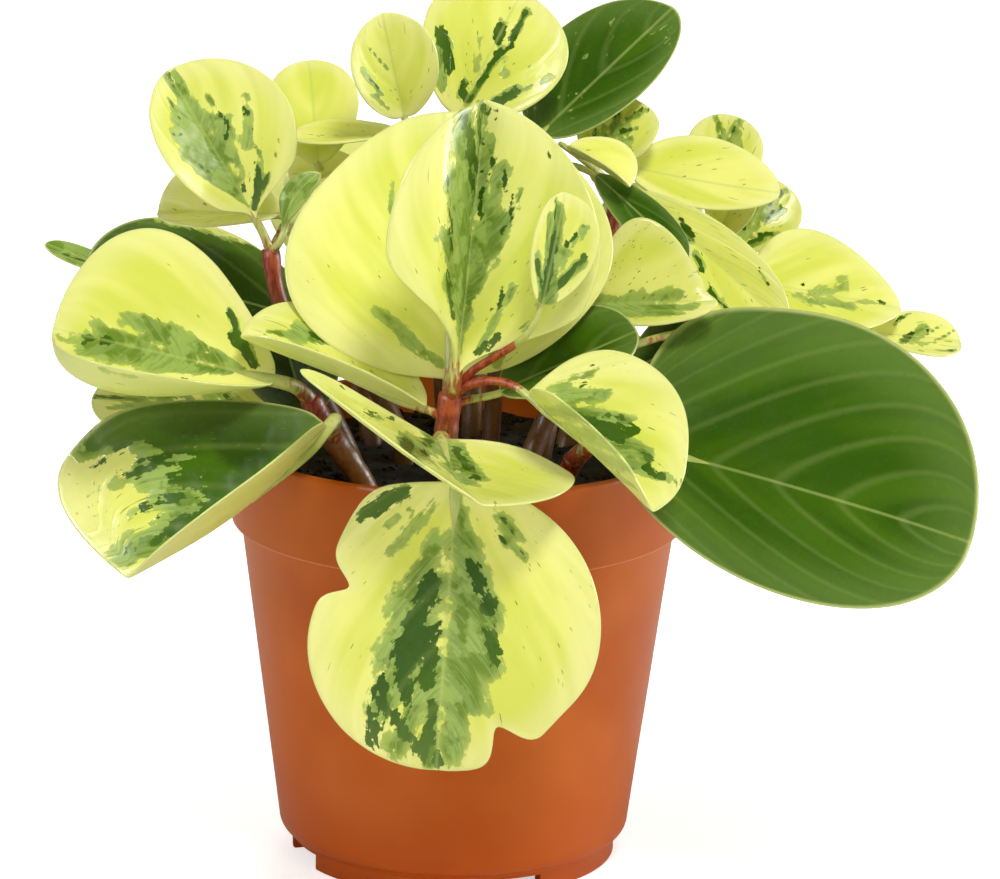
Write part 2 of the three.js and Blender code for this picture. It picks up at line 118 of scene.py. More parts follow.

# %% [markdown]
# ## Helpers for materials
#
# A material is a tree of small nodes. They could be laid out by hand in the shader editor, but
# then the tree can't be read here. Two helpers keep the written trees short: one adds a node,
# sets its options and joins or fills its sockets, the other turns a colour that was judged on the
# screen (0 to 255) into the linear values that a shader works in. The others are small
# combinations of nodes that several materials need.

# %% node helpers
def screen_colour(red, green, blue):
    linear = []
    for value in (red, green, blue):
        part = value / 255
        linear.append(part / 12.92 if part <= 0.04045 else ((part + 0.055) / 1.055) ** 2.4)
    return (*linear, 1)


def fill(socket, value):
    """Joins a socket to another one, or sets its value."""
    if isinstance(value, bpy.types.NodeSocket):
        socket.id_data.links.new(value, socket)
    else:
        socket.default_value = value


def add_node(tree, kind, sockets=(), **options):
    """A new node. sockets is a row of (name or number, value or other socket)."""
    node = tree.nodes.new("ShaderNode" + kind)
    for option, value in options.items():
        setattr(node, option, value)
    for key, value in sockets:
        fill(node.inputs[key], value)
    return node


def blend(tree, factor, first, second):
    """Two colours mixed, as one output socket."""
    node = add_node(tree, "Mix", data_type="RGBA")
    fill(node.inputs[0], factor)
    fill(node.inputs[6], first)
    fill(node.inputs[7], second)
    return node.outputs[2]


def reckon(tree, operation, first, second=0.0, third=0.0):
    """One step of arithmetic, as an output socket."""
    node = add_node(tree, "Math", [(0, first), (1, second), (2, third)], operation=operation)
    return node.outputs[0]


def edge_step(tree, value, low, high, bottom=0.0, top=1.0):
    """A soft step: bottom below low, top above high."""
    sockets = [("Value", value), ("From Min", low), ("From Max", high)]
    sockets += [("To Min", bottom), ("To Max", top)]
    return add_node(tree, "MapRange", sockets, interpolation_type="SMOOTHSTEP").outputs[0]


def noise(tree, vector, scale, detail=3.0, roughness=0.55):
    """Cloudy noise around 0.5."""
    sockets = [("Vector", vector), ("Scale", scale), ("Detail", detail), ("Roughness", roughness)]
    return add_node(tree, "TexNoise", sockets).outputs[0]


def stretched(tree, vector, scale, shift=0.0):
    """A place scaled by three numbers and moved by one, so that a pattern on it runs one way."""
    sockets = [("Vector", vector), ("Location", (shift, shift, shift)), ("Scale", scale)]
    return add_node(tree, "Mapping", sockets).outputs[0]


def emboss(tree, shader, height, strength, distance):
    """Relief that is too fine for the mesh, from a height."""
    sockets = [("Strength", strength), ("Distance", distance), ("Height", height)]
    fill(shader.inputs["Normal"], add_node(tree, "Bump", sockets).outputs[0])


def let_light_in(shader, weight, radius, scale):
    """Light goes a little way into a living skin, further in some colours than in others."""
    for key, value in (("Weight", weight), ("Radius", radius), ("Scale", scale)):
        fill(shader.inputs["Subsurface " + key], value)


def new_material(name):
    """An empty material with its surface shader, as (material, tree, shader)."""
    material = bpy.data.materials.new(name)
    material.use_nodes = True
    tree = material.node_tree
    tree.nodes.clear()
    shader = add_node(tree, "BsdfPrincipled")
    add_node(tree, "OutputMaterial", [("Surface", shader.outputs[0])])
    return material, tree, shader


def new_group(name, inputs, outputs):
    """An empty node group with named sockets, as (group, its input node, its output node)."""
    group = bpy.data.node_groups.new(name, "ShaderNodeTree")
    for socket, kind in inputs:
        group.interface.new_socket(socket, in_out="INPUT", socket_type="NodeSocket" + kind)
    for socket, kind in outputs:
        group.interface.new_socket(socket, in_out="OUTPUT", socket_type="NodeSocket" + kind)
    return group, group.nodes.new("NodeGroupInput"), group.nodes.new("NodeGroupOutput")


def place_group(tree, group, **sockets):
    """A node group as one node of a tree, with its sockets joined or filled."""
    node = tree.nodes.new("ShaderNodeGroup")
    node.node_tree = group
    for key, value in sockets.items():
        fill(node.inputs[key], value)
    return node


print("yellow of a leaf in linear values:", [round(c, 3) for c in screen_colour(239, 238, 129)])

# %% [markdown]
# ## Helpers for meshes
#
# An operator works on everything that is selected, so each step starts by letting go of
# everything. When a piece is done it rides on the frame's body and hides the CAD node that it
# stands for.

# %% mesh helpers
def let_go():
    bpy.ops.object.select_all(action="DESELECT")


def pick(*things):
    """Selects these objects alone, the first one active."""
    let_go()
    for thing in things:
        thing.select_set(True)
    bpy.context.view_layer.objects.active = things[0]


def apply_modifier(thing, kind, **options):
    """Adds a modifier with these options and applies it."""
    pick(thing)
    modifier = thing.modifiers.new(kind.lower(), kind)
    for option, value in options.items():
        setattr(modifier, option, value)
    bpy.ops.object.modifier_apply(modifier=modifier.name)


def finish_piece(thing, name, slot, *nodes):
    """Names the piece and hands it to the frame in place of these nodes."""
    thing.name = name
    thing.data.name = name
    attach(thing, "root")
    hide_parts(*nodes)
    thing.data.calc_loop_triangles()
    print(name, "has", len(thing.data.loop_triangles), "triangles")


# %% [markdown]
# ## Grain
#
# Moulded plastic, soil and plant skin all have an uneven surface at a scale that can't be
# modelled. One node group makes it: a slow cloud for the tone, and a fine and a coarse noise
# added up as a height. Each material places the group with its own scales: the larger the
# number, the finer the grain.

# %% grain group
grain, entry, leave = new_group(
    "grain",
    [("Vector", "Vector"), ("Fine", "Float"), ("Coarse", "Float"), ("Cloud", "Float")],
    [("Height", "Float"), ("Tone", "Float")],
)
fine = noise(grain, entry.outputs["Vector"], entry.outputs["Fine"], 2)
coarse = noise(grain, entry.outputs["Vector"], entry.outputs["Coarse"], 3)
cloud = noise(grain, entry.outputs["Vector"], entry.outputs["Cloud"], 2)
fill(leave.inputs["Height"], reckon(grain, "MULTIPLY_ADD", fine, 0.4, coarse))
fill(leave.inputs["Tone"], edge_step(grain, cloud, 0.3, 0.7))

print("grain group has", len(grain.nodes), "nodes")

# %% [markdown]
# ## The pot's plastic
#
# Thin polypropylene with a satin skin: evenly orange, a little paler in slow clouds and along a
# painted highlight under the collar, darker towards the floor as painted shade, with a very fine
# grain and faint level lines from the mould. The colour stays nearly even, so the roughness and
# the bump do most of the work.

# %% plastic material
plastic, tree, shader = new_material("terracotta_plastic")
here = add_node(tree, "TexCoord").outputs["Object"]
skin = place_group(tree, grain, Vector=here, Fine=1800, Coarse=260, Cloud=28)
level_lines = noise(tree, stretched(tree, here, (6, 6, 700)), 1.0, 2)
tone = blend(tree, skin.outputs["Tone"], screen_colour(194, 90, 12), screen_colour(206, 106, 34))
height_here = add_node(tree, "SeparateXYZ", [(0, here)]).outputs[2]
# painted shade: the plastic gets darker towards the floor, fading out 50 mm up
floor_shade = edge_step(tree, height_here, 0.0, 0.05, 0.6, 0.0)
fill(shader.inputs["Roughness"], edge_step(tree, skin.outputs["Tone"], 0.0, 1.0, 0.36, 0.44))
relief = reckon(tree, "MULTIPLY_ADD", level_lines, 0.5, skin.outputs["Height"])
emboss(tree, shader, relief, 0.12, 0.0003)
fill(shader.inputs["Specular IOR Level"], 0.15)
print("plastic material has", len(tree.nodes), "nodes")

# %% [markdown]
# ## The pot
#
# A nursery pot is a thin tapering wall with a stiff collar round the top, a rounded corner at the
# bottom and a low foot ring with gaps in it, so that water can run off. It could be spun from a
# profile. Here it is drawn up from a disc, as on a potter's wheel: each extrusion starts at the
# last ring, which is then moved up and made wider or narrower. All measures are in millimetres.

# %% pot measures
POT_HEIGHT = 111
RIM_RADIUS = 60
COLLAR_HEIGHT = 23
COLLAR_LOW_RADIUS = 57.7
WALL_TOP_RADIUS = 55.3
WALL_LOW_RADIUS = 45
WALL = 1.6
FOOT_RADIUS = 41.5
FOOT_HEIGHT = 5
FOOT_WIDTH = 4
FLOOR = 2.2
CORNER = 5
WALL_RINGS = 6
NOTCHES = 4
NOTCH_DEPTH = 16
NOTCH_ANGLE = 26
FIRST_NOTCH = 20
DRAIN_HOLES = 6
DRAIN_RADIUS = 4
DRAIN_CIRCLE = 26
POT_SIDES = 144

collar_foot = POT_HEIGHT - COLLAR_HEIGHT
wall_foot = FOOT_HEIGHT + CORNER
pot_floor = FOOT_HEIGHT + FLOOR
inner_top = WALL_TOP_RADIUS - WALL
inner_low = WALL_LOW_RADIUS - WALL


def quarter(middle, radius, first, last, steps=6):
    """Points of a rounded corner, as (radius, height)."""
    turns = [math.radians(first + (last - first) * i / steps) for i in range(steps + 1)]
    return [(middle[0] + radius * math.cos(t), middle[1] + radius * math.sin(t)) for t in turns]


print("collar", COLLAR_HEIGHT, "mm high, wall", WALL, "mm thick")

# %% [markdown]
# The collar ends in a small step, and its lower edge catches a thin line of light, which is
# painted on as a highlight. The shader compares the height of a point with the height of that
# edge, and lightens the plastic where the two are close.

# %% painted highlight under the collar
# painted highlight: a thin pale line where the collar meets the wall
from_edge = reckon(tree, "ABSOLUTE", reckon(tree, "SUBTRACT", height_here, collar_foot / 1000))
highlit = edge_step(tree, from_edge, 0.0002, 0.0007, 0.55, 0.0)
# the painted shade near the floor is mixed into the plastic's colour here
plastic_colour = blend(tree, floor_shade, tone, screen_colour(184, 74, 5))
fill(shader.inputs["Base Color"], blend(tree, highlit, plastic_colour, screen_colour(232, 158, 112)))
print("the rubbed edge is", collar_foot, "mm above the floor")

# %% [markdown]
# The profile starts at the inside of the foot ring, runs down and round it, up the wall and the
# collar, over the rim and back down inside to the floor. Every corner has a few rings of its own,
# because a mould leaves nothing quite sharp.

# %% draw the pot up from a disc
def turned_piece(name, rings, sides):
    """A closed turned shape: a disc, extruded from ring to ring (radius, height in mm)."""
    let_go()
    centre = Vector(place((0, 0, rings[0][1])))
    bpy.ops.mesh.primitive_circle_add(
        vertices=sides, radius=rings[0][0] / 1000, fill_type="TRIFAN", location=centre
    )
    piece = bpy.context.object
    piece.name = name
    bpy.ops.object.mode_set(mode="EDIT")
    bpy.ops.mesh.select_all(action="DESELECT")
    mesh = bmesh.from_edit_mesh(piece.data)
    for edge in mesh.edges:
        edge.select_set(edge.is_boundary)
    bmesh.update_edit_mesh(piece.data)
    for (radius, height), (wider, higher) in zip(rings, rings[1:]):
        rise = (0, 0, (higher - height) / 1000)
        bpy.ops.mesh.extrude_region_move(TRANSFORM_OT_translate={"value": rise})
        grow = wider / radius
        middle = Vector(place((0, 0, higher)))
        bpy.ops.transform.resize(value=(grow, grow, 1), center_override=middle)
    bpy.ops.mesh.edge_face_add()
    bpy.ops.mesh.poke()
    bpy.ops.mesh.select_all(action="SELECT")
    bpy.ops.mesh.normals_make_consistent(inside=False)
    bpy.ops.object.mode_set(mode="OBJECT")
    pick(piece)
    bpy.ops.object.transform_apply(location=True, rotation=True, scale=True)
    return piece


outer = [(FOOT_RADIUS - FOOT_WIDTH, FOOT_HEIGHT), (FOOT_RADIUS - FOOT_WIDTH, 0.4)]
outer += [(FOOT_RADIUS - FOOT_WIDTH + 0.4, 0), (FOOT_RADIUS - 0.8, 0)]
outer += quarter((FOOT_RADIUS - 0.8, 0.8), 0.8, -60, 0, 3)
outer += [(FOOT_RADIUS, FOOT_HEIGHT - 0.3), (FOOT_RADIUS + 0.3, FOOT_HEIGHT)]
outer += quarter((WALL_LOW_RADIUS - CORNER + 0.6, wall_foot - 0.2), CORNER - 0.6, -70, 0)
for i in range(1, WALL_RINGS):
    part = i / WALL_RINGS
    radius = WALL_LOW_RADIUS + (WALL_TOP_RADIUS - WALL_LOW_RADIUS) * part
    outer.append((radius, wall_foot + (collar_foot - 0.5 - wall_foot) * part))
outer += [(WALL_TOP_RADIUS, collar_foot - 0.5), (WALL_TOP_RADIUS + 0.4, collar_foot)]
outer += quarter((COLLAR_LOW_RADIUS - 0.6, collar_foot + 0.6), 0.6, -70, 0, 3)
outer += [(COLLAR_LOW_RADIUS + 0.8, collar_foot + 8), (RIM_RADIUS - 0.8, POT_HEIGHT - 6)]
outer += quarter((RIM_RADIUS - 1.4, POT_HEIGHT - 1.2), 1.2, 0, 90)
inner = [(RIM_RADIUS - WALL - 0.6, POT_HEIGHT - 0.5), (COLLAR_LOW_RADIUS - WALL, collar_foot + 2)]
inner += [(inner_top, collar_foot + 2 - WALL), (inner_low, pot_floor + CORNER)]
inner += [(inner_low - 1, pot_floor + 1.5), (inner_low - 3, pot_floor), (4, pot_floor)]
pot = turned_piece("pot_body", outer + inner, POT_SIDES)
print("pot drawn up from a disc over", len(outer + inner), "rings")

# %% [markdown]
# The gaps in the foot ring and the drain holes are cut with Boolean modifiers: blocks and pins
# are stood where the plastic has to go, joined to one cutter, and taken away. The cuts could be
# modelled face by face, but six round holes in a floor are sooner cut.

# %% cut the foot notches and the drain holes
let_go()
cutters = []
notch_width = 2 * FOOT_RADIUS * math.sin(math.radians(NOTCH_ANGLE / 2))
for i in range(NOTCHES):
    turn = math.radians(FIRST_NOTCH - 90 + 360 * i / NOTCHES)
    spot = place((FOOT_RADIUS * math.cos(turn), FOOT_RADIUS * math.sin(turn), FOOT_HEIGHT / 2 - 0.8))
    bpy.ops.mesh.primitive_cube_add(size=1, location=Vector(spot), rotation=(0, 0, turn))
    block = (NOTCH_DEPTH / 1000, notch_width / 1000, FOOT_HEIGHT / 1000)
    bpy.ops.transform.resize(value=block, orient_type="LOCAL")
    cutters.append(bpy.context.object)
for i in range(DRAIN_HOLES):
    turn = math.radians(360 * i / DRAIN_HOLES)
    spot = place((DRAIN_CIRCLE * math.cos(turn), DRAIN_CIRCLE * math.sin(turn), FOOT_HEIGHT + FLOOR / 2))
    bpy.ops.mesh.primitive_cylinder_add(
        vertices=32, radius=DRAIN_RADIUS / 1000, depth=4 * FLOOR / 1000, location=Vector(spot)
    )
    cutters.append(bpy.context.object)
pick(*cutters)
bpy.ops.object.join()
cutter = bpy.context.object
apply_modifier(pot, "BOOLEAN", operation="DIFFERENCE", object=cutter, solver="EXACT")
bpy.data.objects.remove(cutter)
pick(pot)
bpy.ops.object.shade_smooth_by_angle(angle=math.radians(32))
pot.data.materials.clear()
pot.data.materials.append(plastic)
finish_piece(pot, "pot_body", "terracotta_plastic", "pot")

# %% [markdown]
# ## The soil
#
# Peat is nearly black, never glossy, and full of crumbs and pale fibres. What is too small to
# model is left to the grain group, with a strong bump.

# %% soil material
earth, tree, shader = new_material("potting_soil")
here = add_node(tree, "TexCoord").outputs["Object"]
crumble = place_group(tree, grain, Vector=here, Fine=2200, Coarse=500, Cloud=90)
dry = blend(tree, crumble.outputs["Tone"], screen_colour(14, 9, 5), screen_colour(38, 25, 14))
fibre = edge_step(tree, noise(tree, here, 900, 2), 0.66, 0.72)
fill(shader.inputs["Base Color"], blend(tree, fibre, dry, screen_colour(70, 50, 28)))
fill(shader.inputs["Roughness"], edge_step(tree, crumble.outputs["Tone"], 0.0, 1.0, 0.85, 1.0))
emboss(tree, shader, crumble.outputs["Height"], 0.9, 0.0008)
print("soil material has", len(tree.nodes), "nodes")

# %% [markdown]
# The heap is drawn up from a disc like the pot, a little clear of the pot's wall. On top its
# rings lie close together, and each of their points is pushed up or down by a few sine waves that
# run into each other. That gives lumps that look uneven and are the same every time.

# %% soil heap
SOIL_TOP = 102
SOIL_LOW = 60
CLEARANCE = 0.5
HEAP_RINGS = 26
HEAP_RADIUS = 56
RING_STEP = 2.1


def inner_radius(height):
    """Radius of the pot's inner wall below the collar."""
    low = pot_floor + CORNER
    part = (height - low) / (collar_foot - low)
    return inner_low + (inner_top - inner_low) * part


def lump(x, y):
    """How much higher the soil lies at this place, in mm."""
    slow = math.sin(x / 5.1 + math.cos(y / 7.3)) * math.cos(y / 4.3 + math.sin(x / 8.9))
    quick = math.sin(x / 1.3 + 2 * math.sin(y / 1.9)) * math.cos(y / 1.1 + math.sin(x / 2.3))
    return slow + 0.35 * quick


soil_low_radius = inner_radius(SOIL_LOW) - CLEARANCE
neck = collar_foot + 2 - WALL
soil_rings = [(4, SOIL_LOW), (soil_low_radius, SOIL_LOW), (inner_top - CLEARANCE, neck)]
soil_rings += [(COLLAR_LOW_RADIUS - WALL - CLEARANCE, collar_foot + 2 + CLEARANCE)]
soil_rings += [(COLLAR_LOW_RADIUS - WALL + 0.6, SOIL_TOP - 2)]
soil_rings += [(HEAP_RADIUS, SOIL_TOP - 0.8)]
soil_rings += [(HEAP_RADIUS - i * RING_STEP, SOIL_TOP) for i in range(1, HEAP_RINGS)]
soil = turned_piece("soil_heap", soil_rings, 120)
for vertex in soil.data.vertices:
    x, y, z = [1000 * value for value in vertex.co - AXIS]
    if z > SOIL_TOP - 1:
        vertex.co.z += lump(x, y) / 1000
print("soil heap over", len(soil_rings), "rings")

# %% [markdown]
# Loose crumbs break up the smooth heap. One crumb is modelled, as a ball of a few faces with its
# corners knocked about, and is then copied, each copy with a mesh of its own, a turn and a size.

# %% soil crumbs
CRUMBS = 420
CRUMB_SPREAD = 54.5

let_go()
bpy.ops.mesh.primitive_ico_sphere_add(subdivisions=1, radius=0.001)
first_crumb = bpy.context.object
bpy.ops.object.mode_set(mode="EDIT")
bpy.ops.mesh.select_all(action="SELECT")
bpy.ops.transform.vertex_random(offset=0.0003, seed=3)
bpy.ops.object.mode_set(mode="OBJECT")

chance = random.Random(7)
crumbs = []
for i in range(CRUMBS):
    turn = chance.uniform(0, 2 * math.pi)
    reach = CRUMB_SPREAD * math.sqrt(chance.random())
    x, y = reach * math.cos(turn), reach * math.sin(turn)
    size = chance.uniform(0.5, 1.7)
    crumb = first_crumb.copy()
    crumb.data = first_crumb.data.copy()
    bpy.context.collection.objects.link(crumb)
    crumb.location = Vector(place((x, y, SOIL_TOP + lump(x, y) + 0.2)))
    crumb.rotation_euler = [chance.uniform(0, 6.28) for _ in range(3)]
    crumb.scale = [size * chance.uniform(0.5, 1.2) for _ in range(3)]
    crumbs.append(crumb)
bpy.data.objects.remove(first_crumb)
pick(soil, *crumbs)
bpy.ops.object.join()
bpy.ops.object.transform_apply(location=True, rotation=True, scale=True)
bpy.ops.object.shade_smooth_by_angle(angle=math.radians(40))
soil.data.materials.clear()
soil.data.materials.append(earth)
finish_piece(soil, "soil_heap", "potting_soil", "soil")

# %% [markdown]
# ## The bush, as a table
#
# A plant like this is easier to arrange as numbers than by pushing leaves about. A stem is a row
# of points on its axis with a radius at each end. A leaf is one row: the foot and the tip of its
# blade, the way its upper face looks, the half widths, how far the two halves are folded up from
# the midrib, how far they are cupped (left half first, in degrees), and the curl along the midrib.

# %% stems and leaves, in millimetres from the pot's axis
PLANT = {
    "front_stem": {
        "axis": [(0, -36, 88), (-1, -38, 104), (-3, -43, 118), (-2, -44, 132)],
        "radii": (3.4, 2.6),
        "leaves": [
            ("centre_tall", (-1, -47, 136), (5, -45, 206), (0.35, -0.9, 0.2),
             (32, 34), (62, 40), (-75, -14), 0),
            ("centre_round", (-2, -40, 134), (-5, -10, 196), (0, -0.75, 0.6),
             (41, 42), (8, 8), (6, 6), 8),
            ("centre_small", (20, -58, 158), (25, -60, 187), (0.1, -1, 0.1),
             (6.5, 11), (25, 10), (0, 0), 0),
            ("apron", (-4, -50, 121), (6, -92, 117), (0.3, -0.45, 0.85), (29, 51), (8, 22), (10, 8), 25),
            ("apron_hanging", (0, -66, 116), (-4, -68, 42), (0, -1, 0.1),
             (38, 35), (6, 6), (-6, -6), -20),
            ("right_front", (18, -58, 135), (47, -83, 114), (0.2, -0.85, 0.5),
             (26, 13), (4, 86), (10, 6), -10),
            ("left_front", (-7.6, -44, 128), (-54, -46, 145.8), (0.1, -0.2, 1),
             (9, 18), (44, 40), (10, -15), 0),
            ("glossy_low", (10, -42, 132), (44, -38, 147), (-0.3, -0.6, 0.7),
             (13, 14), (20, 20), (0, 0), 0),
        ],
    },
    "left_stem": {
        "axis": [(-21, -32, 88), (-23, -33, 104), (-31, -33, 117), (-37, -32, 127)],
        "radii": (3.6, 2.6),
        "leaves": [
            ("left_lipped", (-45, -42, 134), (-100, -45, 147), (0.1, -0.8, 0.6),
             (31, 32), (-10, 0), (130, 14), 0),
            ("left_low", (-32, -46, 124), (-78, -63, 90), (-0.45, -0.85, 0.25),
             (26, 36), (79, 0), (0, 6), 0),
            ("left_inner", (-38, -19, 118.5), (-46, -22, 147), (-0.2, -0.9, 0.2),
             (13, 14), (15, 15), (0, 0), 0),
            ("left_under", (-45, -20, 116), (-92, -8, 122), (0, -0.4, 0.9),
             (20, 20), (12, 12), (0, 0), 0),
        ],
    },
    "upper_left_stem": {
        "axis": [(-24, -16, 88), (-26, -16, 104), (-38, -13, 130), (-46, -11, 148), (-48, -11, 160)],
        "radii": (3.0, 2.0),
        "leaves": [
            ("upper_left", (-51.5, -12, 167.5), (-74, -16, 206), (0.3, -0.95, 0.1),
             (15, 23), (22, 12), (10, 6), 0),
            ("bud_left", (-45.2, -14, 164), (-35.5, -14, 180.5), (-0.6, -0.8, 0.2),
             (4, 4), (20, 20), (0, 0), 0),
            ("left_flat", (-46, -2, 167), (-77, 2, 166), (0, -0.4, 0.9), (12, 15), (20, 30), (0, 0), 0),
        ],
    },
    "back_left_stem": {
        "axis": [(-12, 2, 88), (-14, 4, 104), (-26, 10, 132), (-30, 14, 158), (-29, 15, 172)],
        "radii": (3.0, 2.0),
        "leaves": [
            ("left_dark", (-36, 10, 136), (-96, 18, 150), (0, -0.7, 0.7), (25, 18), (10, 6), (0, 12), 0),
            ("left_tip", (-84, 22, 144), (-107, 20, 153), (0, -0.6, 0.8),
             (3.5, 3.5), (10, 10), (0, 0), 0),
            ("upper_left_round", (-37, 16, 176), (-40, 26, 201), (0.1, -1, 0.2),
             (12, 12), (6, 6), (10, 10), 0),
            ("upper_left_flat", (-16, 10, 186), (-44, 8, 184), (0, -0.05, 1),
             (12, 12), (10, 10), (0, 0), 10),
            ("upper_left_low", (-26, 16, 176), (-44, 12, 172), (0, -0.15, 1),
             (10, 12), (15, 15), (0, 0), 0),
        ],
    },
    "back_stem": {
        "axis": [(-3, 14, 88), (-3, 14, 104), (-6, 12, 140), (-7, 8, 172), (-7, 6, 182)],
        "radii": (3.0, 2.0),
        "leaves": [
            ("top_small", (-15, 4, 191), (-21, -2, 219), (0.1, -1, 0.2),
             (13, 13), (20, 20), (20, 20), 0),
            ("top_large", (-2, 10, 190), (14, 20, 221), (0.1, -1, 0.25),
             (21, 20), (10, 10), (20, 20), 0),
            ("behind_high", (-5, 22, 160), (0, 52, 174), (0, 0.2, 1), (17, 17), (14, 14), (8, 8), -10),
            ("behind_left", (-14, 22, 150), (-46, 40, 152), (-0.2, 0.3, 1),
             (17, 17), (14, 14), (8, 8), -10),
        ],
    },
    "green_shoot": {
        "axis": [(8, 10, 88), (8, 10, 104), (10, 12, 140), (11, 13, 170)],
        "radii": (2.6, 1.9),
        "leaves": [
            ("top_dark", (19, 15, 185), (53, 38, 214), (-0.3, -0.6, 0.5),
             (22, 11.5), (-6, -12), (0, 0), 0),
            ("green_behind", (16, 26, 152), (34, 52, 152), (0.1, 0.5, 0.9),
             (18, 18), (12, 12), (6, 6), -10),
            ("right_wavy", (33, 6, 177), (57, 0, 156), (0.3, -0.8, 0.5), (6, 8), (10, 20), (0, 0), -10),
        ],
    },
    "right_stem": {
        "axis": [(20, 6, 88), (21, 7, 104), (29, 14, 136), (38, 20, 160), (40, 22, 168)],
        "radii": (3.2, 2.2),
        "leaves": [
            ("right_cup", (33, 20, 176), (44, 27, 192), (-0.4, -0.9, 0.3),
             (12, 14), (15, 15), (20, 20), 0),
            ("right_folded", (42, 20, 176), (80.5, 14, 171), (0, -0.55, 0.85),
             (14, 9), (10, -10), (10, 10), 10),
            ("right_back", (64, 46, 160), (69, 56, 182.5), (-0.1, -1, 0.2), (10, 11), (8, 8), (0, 0), 0),
            ("right_edge", (72, 48, 148), (81, 54, 166), (-0.3, -0.9, 0.3),
             (14, 12), (15, 5), (0, 0), 0),
            ("right_pale", (66, 30, 156), (72, 28, 174), (-0.3, -0.9, 0.3), (8, 8), (20, 20), (0, 0), 0),
            ("right_speckled", (44, 12, 171), (82, 0, 140), (0.3, -0.9, 0.2),
             (9, 17), (8, 8), (6, 6), -12),
            ("right_yellow", (26, 6, 184), (42, 0, 175), (0.2, -0.5, 0.9),
             (9, 8), (25, 50), (0, 0), -12),
        ],
    },
    "right_low_stem": {
        "axis": [(16, -14, 88), (17, -14, 104), (26, -10, 126), (34, -6, 140)],
        "radii": (3.0, 2.2),
        "leaves": [
            ("right_tipped", (33, -21, 149.6), (64, -34, 154), (-0.1, -0.85, 0.5),
             (21, 8.5), (5, 25), (12, 10), 0),
            ("right_far", (73, 18, 147), (113, 26, 138.5), (0, -0.7, 0.7),
             (17, 16), (10, 20), (8, 0), 0),
            ("right_striped", (103, 26, 132), (129, 30, 129), (0, -0.45, 0.9),
             (8, 13), (20, 20), (10, 0), 0),
            ("right_under", (43, 6, 126), (68, 10, 137), (0.1, -0.8, 0.5),
             (10, 11), (10, 10), (0, 0), 0),
        ],
    },
    "green_right_stem": {
        "axis": [(25, -28, 88), (26, -29, 104), (29, -33, 113)],
        "radii": (3.0, 2.4),
        "leaves": [
            ("big_green", (40, -42, 120), (127, -55, 99), (0.1, -0.9, 0.5),
             (45.5, 29), (4, 14), (-8, -10), -16),
        ],
    },
    "rear_left_stem": {
        "axis": [(-22, 22, 88), (-23, 23, 104), (-29, 38, 126)],
        "radii": (3.2, 2.4),
        "leaves": [
            ("rear_left_side", (-36, 46, 132), (-82, 64, 138), (-0.2, 0.5, 0.85),
             (24, 24), (14, 14), (8, 8), -10),
            ("rear_left_wide", (-32, 52, 128), (-46, 96, 124), (-0.1, 0.6, 0.8),
             (25, 25), (12, 12), (8, 8), -12),
            ("rear_left_high", (-26, 46, 140), (-42, 64, 174), (-0.2, 0.9, 0.3),
             (19, 19), (16, 16), (10, 10), 0),
            ("rear_left_low", (-38, 42, 118), (-76, 60, 90), (-0.6, 0.5, 0.6),
             (22, 22), (20, 20), (0, 0), -10),
        ],
    },
    "rear_stem": {
        "axis": [(3, 30, 88), (3, 31, 104), (3, 46, 128)],
        "radii": (3.2, 2.4),
        "leaves": [
            ("rear_high", (3, 54, 142), (4, 80, 172), (0, 0.8, 0.6), (22, 22), (12, 12), (10, 10), 0),
            ("rear_hanging", (0, 60, 130), (-6, 92, 92), (0, 0.9, 0.5), (26, 26), (10, 10), (0, 0), -20),
            ("rear_right_wide", (11, 56, 132), (36, 94, 126), (0.2, 0.5, 0.9),
             (23, 23), (14, 14), (8, 8), -10),
        ],
    },
    "rear_right_stem": {
        "axis": [(27, 20, 88), (28, 21, 104), (38, 36, 122)],
        "radii": (3.2, 2.4),
        "leaves": [
            ("rear_right_side", (48, 46, 132), (88, 62, 134), (0.2, 0.4, 0.9),
             (22, 22), (14, 14), (8, 8), -10),
            ("rear_right_low", (46, 48, 124), (76, 76, 98), (0.5, 0.7, 0.6),
             (24, 24), (16, 16), (0, 0), -12),
            ("rear_right_high", (46, 46, 136), (54, 66, 162), (0.1, 0.9, 0.4),
             (17, 17), (14, 14), (10, 10), 0),
            ("rear_right_flat", (50, 36, 122), (92, 42, 114), (0.2, 0.1, 1),
             (20, 20), (16, 16), (0, 0), -10),
        ],
    },
}
